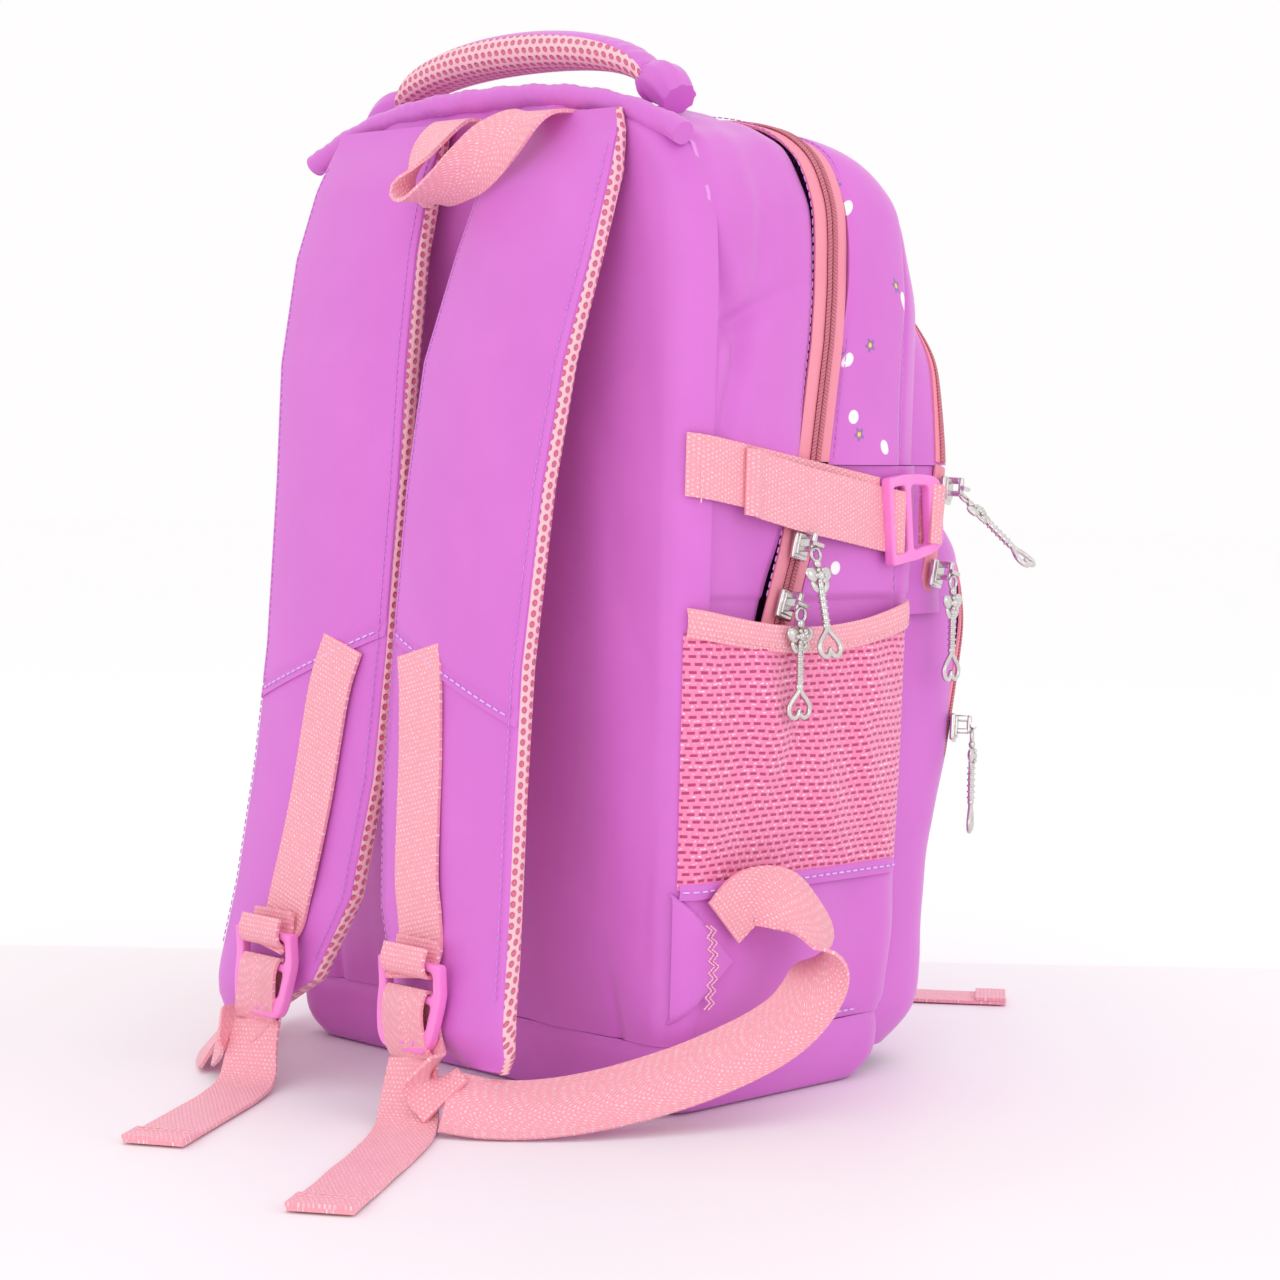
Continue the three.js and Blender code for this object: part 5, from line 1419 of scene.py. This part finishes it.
def charm():
    parts = [hoop(2.7, 0.75, (0, 0, -1.4), (0, math.pi / 2, 0)), ball(1.9, (0, 0, -5.2), (0.8, 1, 1.1))]
    for way in (-1, 1):
        parts.append(ball(3.7, (0, way * 4.0, -9.6), (0.42, 1.05, 0.8), (way * 0.55, 0, 0)))
        parts.append(ball(2.3, (0.5, way * 4.6, -9.4), (0.5, 0.9, 0.6), (way * 0.55, 0, 0)))
        parts.append(ball(2.2, (0, way * 3.4, -14.6), (0.4, 0.7, 1.35), (way * -0.6, 0, 0)))
    parts.append(ball(2.1, (0.6, 0, -10.2), (0.9, 0.9, 1)))
    for k in range(6):
        angle = k * math.pi / 3
        parts.append(ball(0.95, (1.3, 2.6 * math.cos(angle), -10.2 + 2.6 * math.sin(angle))))
    parts.append(primitive("cylinder", nickelMetal, vertices=18, radius=0.0014, depth=0.019,
                           location=(0, 0, -0.0215)))
    for k in range(6):
        parts.append(hoop(1.45, 0.5, (0, 0, -15.5 - 2.6 * k), (0, 0, 0)))
    parts.append(ball(1.9, (0, 0, -30.6), (0.8, 1.1, 0.9)))
    heart = []
    for angle in np.linspace(0, 2 * math.pi, 48, endpoint=False):
        across = 6.2 * math.sin(angle) ** 3
        tall = (13 * math.cos(angle) - 5 * math.cos(2 * angle) - 2 * math.cos(3 * angle) -
                math.cos(4 * angle)) * 0.42
        heart.append((across, tall))
    rings = []
    for k in range(49):
        here, nextAt, lastAt = (np.array(heart[j % 48]) for j in (k, k + 1, k - 1))
        ahead = (nextAt - lastAt) / (np.linalg.norm(nextAt - lastAt) + 1e-9)
        side = np.array([ahead[1], -ahead[0]])
        rings.append([(1.1 * math.sin(t), here[0] + 1.15 * math.cos(t) * side[0],
                       -38.0 - here[1] * -1.0 * -1.0 + 1.15 * math.cos(t) * side[1] * -1.0)
                      for t in np.linspace(0, 2 * math.pi, 11)])
    loop = gridPiece("heartLoop", np.array(rings), nickelMetal)
    bpy.ops.object.mode_set(mode="EDIT")
    bpy.ops.mesh.select_all(action="SELECT")
    bpy.ops.mesh.remove_doubles(threshold=0.00003)
    bpy.ops.mesh.normals_make_consistent(inside=False)
    bpy.ops.object.mode_set(mode="OBJECT")
    parts.append(loop)
    return joined("charmPull", parts)


def roundedBox(size, place, bevel):
    made = primitive("cube", nickelMetal, size=1, location=Vector(place) * 0.001, scale=Vector(size) * 0.001)
    edge = made.modifiers.new("rounding", "BEVEL")
    edge.width = bevel * 0.001
    edge.segments = 3
    edge.limit_method = "NONE"
    bpy.ops.object.modifier_apply(modifier="rounding")
    bpy.ops.object.shade_smooth_by_angle(angle=math.radians(45))
    return made


def sliderBody():
    parts = [roundedBox((2.4, 9, 12), (1.3, 0, 0), 1.0), roundedBox((1.2, 6.4, 9), (2.8, 0, 0.4), 0.5),
             roundedBox((6.4, 2.6, 3.0), (5.0, 0, 4.2), 0.9), roundedBox((2.2, 2.8, 8.0), (8.2, 0, 1.6), 0.9),
             roundedBox((6.0, 2.6, 2.4), (5.4, 0, -1.4), 0.8)]
    parts.append(primitive("cylinder", nickelMetal, vertices=16, radius=0.001, depth=0.007,
                           location=(0.0102, 0, 0.0008), rotation=(math.pi / 2, 0, 0)))
    return joined("zipSlider", parts)


charmModel = charm()
sliderModel = sliderBody()
sliderRows = [
    ("main_upper", (123.26, -5.99, 228), 0, 13, 13, 0.2), ("main_lower", (123.0, -13.83, 204), 0, 18, 0, 0.2),
    ("upper_pocket_high", None, 15.6, 8, 48, 0.2), ("upper_pocket_low", None, 9.7, 13, 0, 0.2),
    ("lower_pocket", None, 32.9, 14, 0, 0.5)]
hinges = {"upper_pocket_high": (122.58, 102.03, 247), "upper_pocket_low": (124.35, 93.65, 211),
          "lower_pocket": (119.2, 115.8, 143), "main_upper": (133.50, -5.99, 225),
          "main_lower": (133.18, -13.83, 201)}
for name, place, out, lean, stand, seat in sliderRows:
    turnedOut = Matrix.Rotation(math.radians(out), 4, "Z")
    hinge = Matrix.Translation(Vector(hinges[name]) * 0.001) @ turnedOut
    seatAt = hinge @ Matrix.Translation((-(pull["crown"] - 1.8) * 0.001, 0, 0.003))
    words = name.split("_")
    label = words[0] + "".join(word.capitalize() for word in words[1:])
    for model, kind, move in ((sliderModel, "Slider", seatAt @ Matrix.Rotation(math.radians(-lean), 4, "X")),
                              (charmModel, "Pull", hinge @ Matrix.Rotation(math.radians(-stand), 4, "Y") @
                               Matrix.Translation((0, 0, 0.001)))):
        made = bpy.data.objects.new(label + kind, model.data.copy())
        made.data.name = label + kind
        bpy.context.scene.collection.objects.link(made)
        made.data.transform(move)
        settle(made, name + "_" + kind.lower() + "_body", [name + "_" + kind.lower()])
for model in (charmModel, sliderModel):
    bpy.data.objects.remove(model)
print("sliders and pulls on")

# Seams and the pieces that stay as they are


def seamOn(name, shape, lineY, zLow, zHigh, body, thread, lift=0.6, pitch=3.6, long=2.6):
    # topstitch along a side-view line: whole arch when zHigh is None, else a stretch each side
    if zHigh is None:
        lines = [archLine(shape, lineY, zLow, 500)]
    else:
        heights = np.linspace(zLow, zHigh, 120)
        lines = [np.stack([halfWidth(shape, lineY(heights), heights) * side, lineY(heights), heights], axis=1)
                 for side in (1, -1)]
    for k, line in enumerate(lines):
        away = line - np.array([0, line[:, 1].mean() * 0 + 20, 170])
        away[:, 1] *= 0.2
        away /= np.linalg.norm(away, axis=1, keepdims=True)
        line = line + away * lift
        stitches(name + str(k), line, away, thread, body, pitch, long, 0.3, 0.15)


seamOn("zipStitchRear", bagShape, lambda z: zipY(z) - 11.6, 207, None, "bag", stitchThread, 0.7)
seamOn("zipStitchFront", bagShape, lambda z: zipY(z) + 11.8, 262.5, None, "lid", stitchThread, 0.7)
seamOn("zipStitchLow", bagShape, lambda z: zipY(z) + 11.8, 207, 259, "bag", stitchThread, 0.4)
seamOn("lidSeamStitch", bagShape, constantly(57.6), 262.5, None, "lid", stitchThread, 0.9)
seamOn("sideSeamStitch", bagShape, constantly(57.6), 207, 259, "bag", stitchThread, 0.4)
y = np.linspace(-54, 40, 100)
for side, word in ((1, "right"), (-1, "left")):
    line = np.stack([side * (halfWidth(bagShape, y, 31.5) + 0.2), y, np.full(100, 31.8)], axis=1)
    stitches(word + "BaseStitch", line, (side, 0, 0), paleThread, "bag", 4.0, 2.9, 0.34, 0.2)

for names, material in ((["back_foam"], foamFill), (["base_board"], boardFill),
                        (["back_lining"], liningCloth)):
    for name in names:
        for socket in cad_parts[name].material_slots:
            socket.material = material
print("seams stitched")
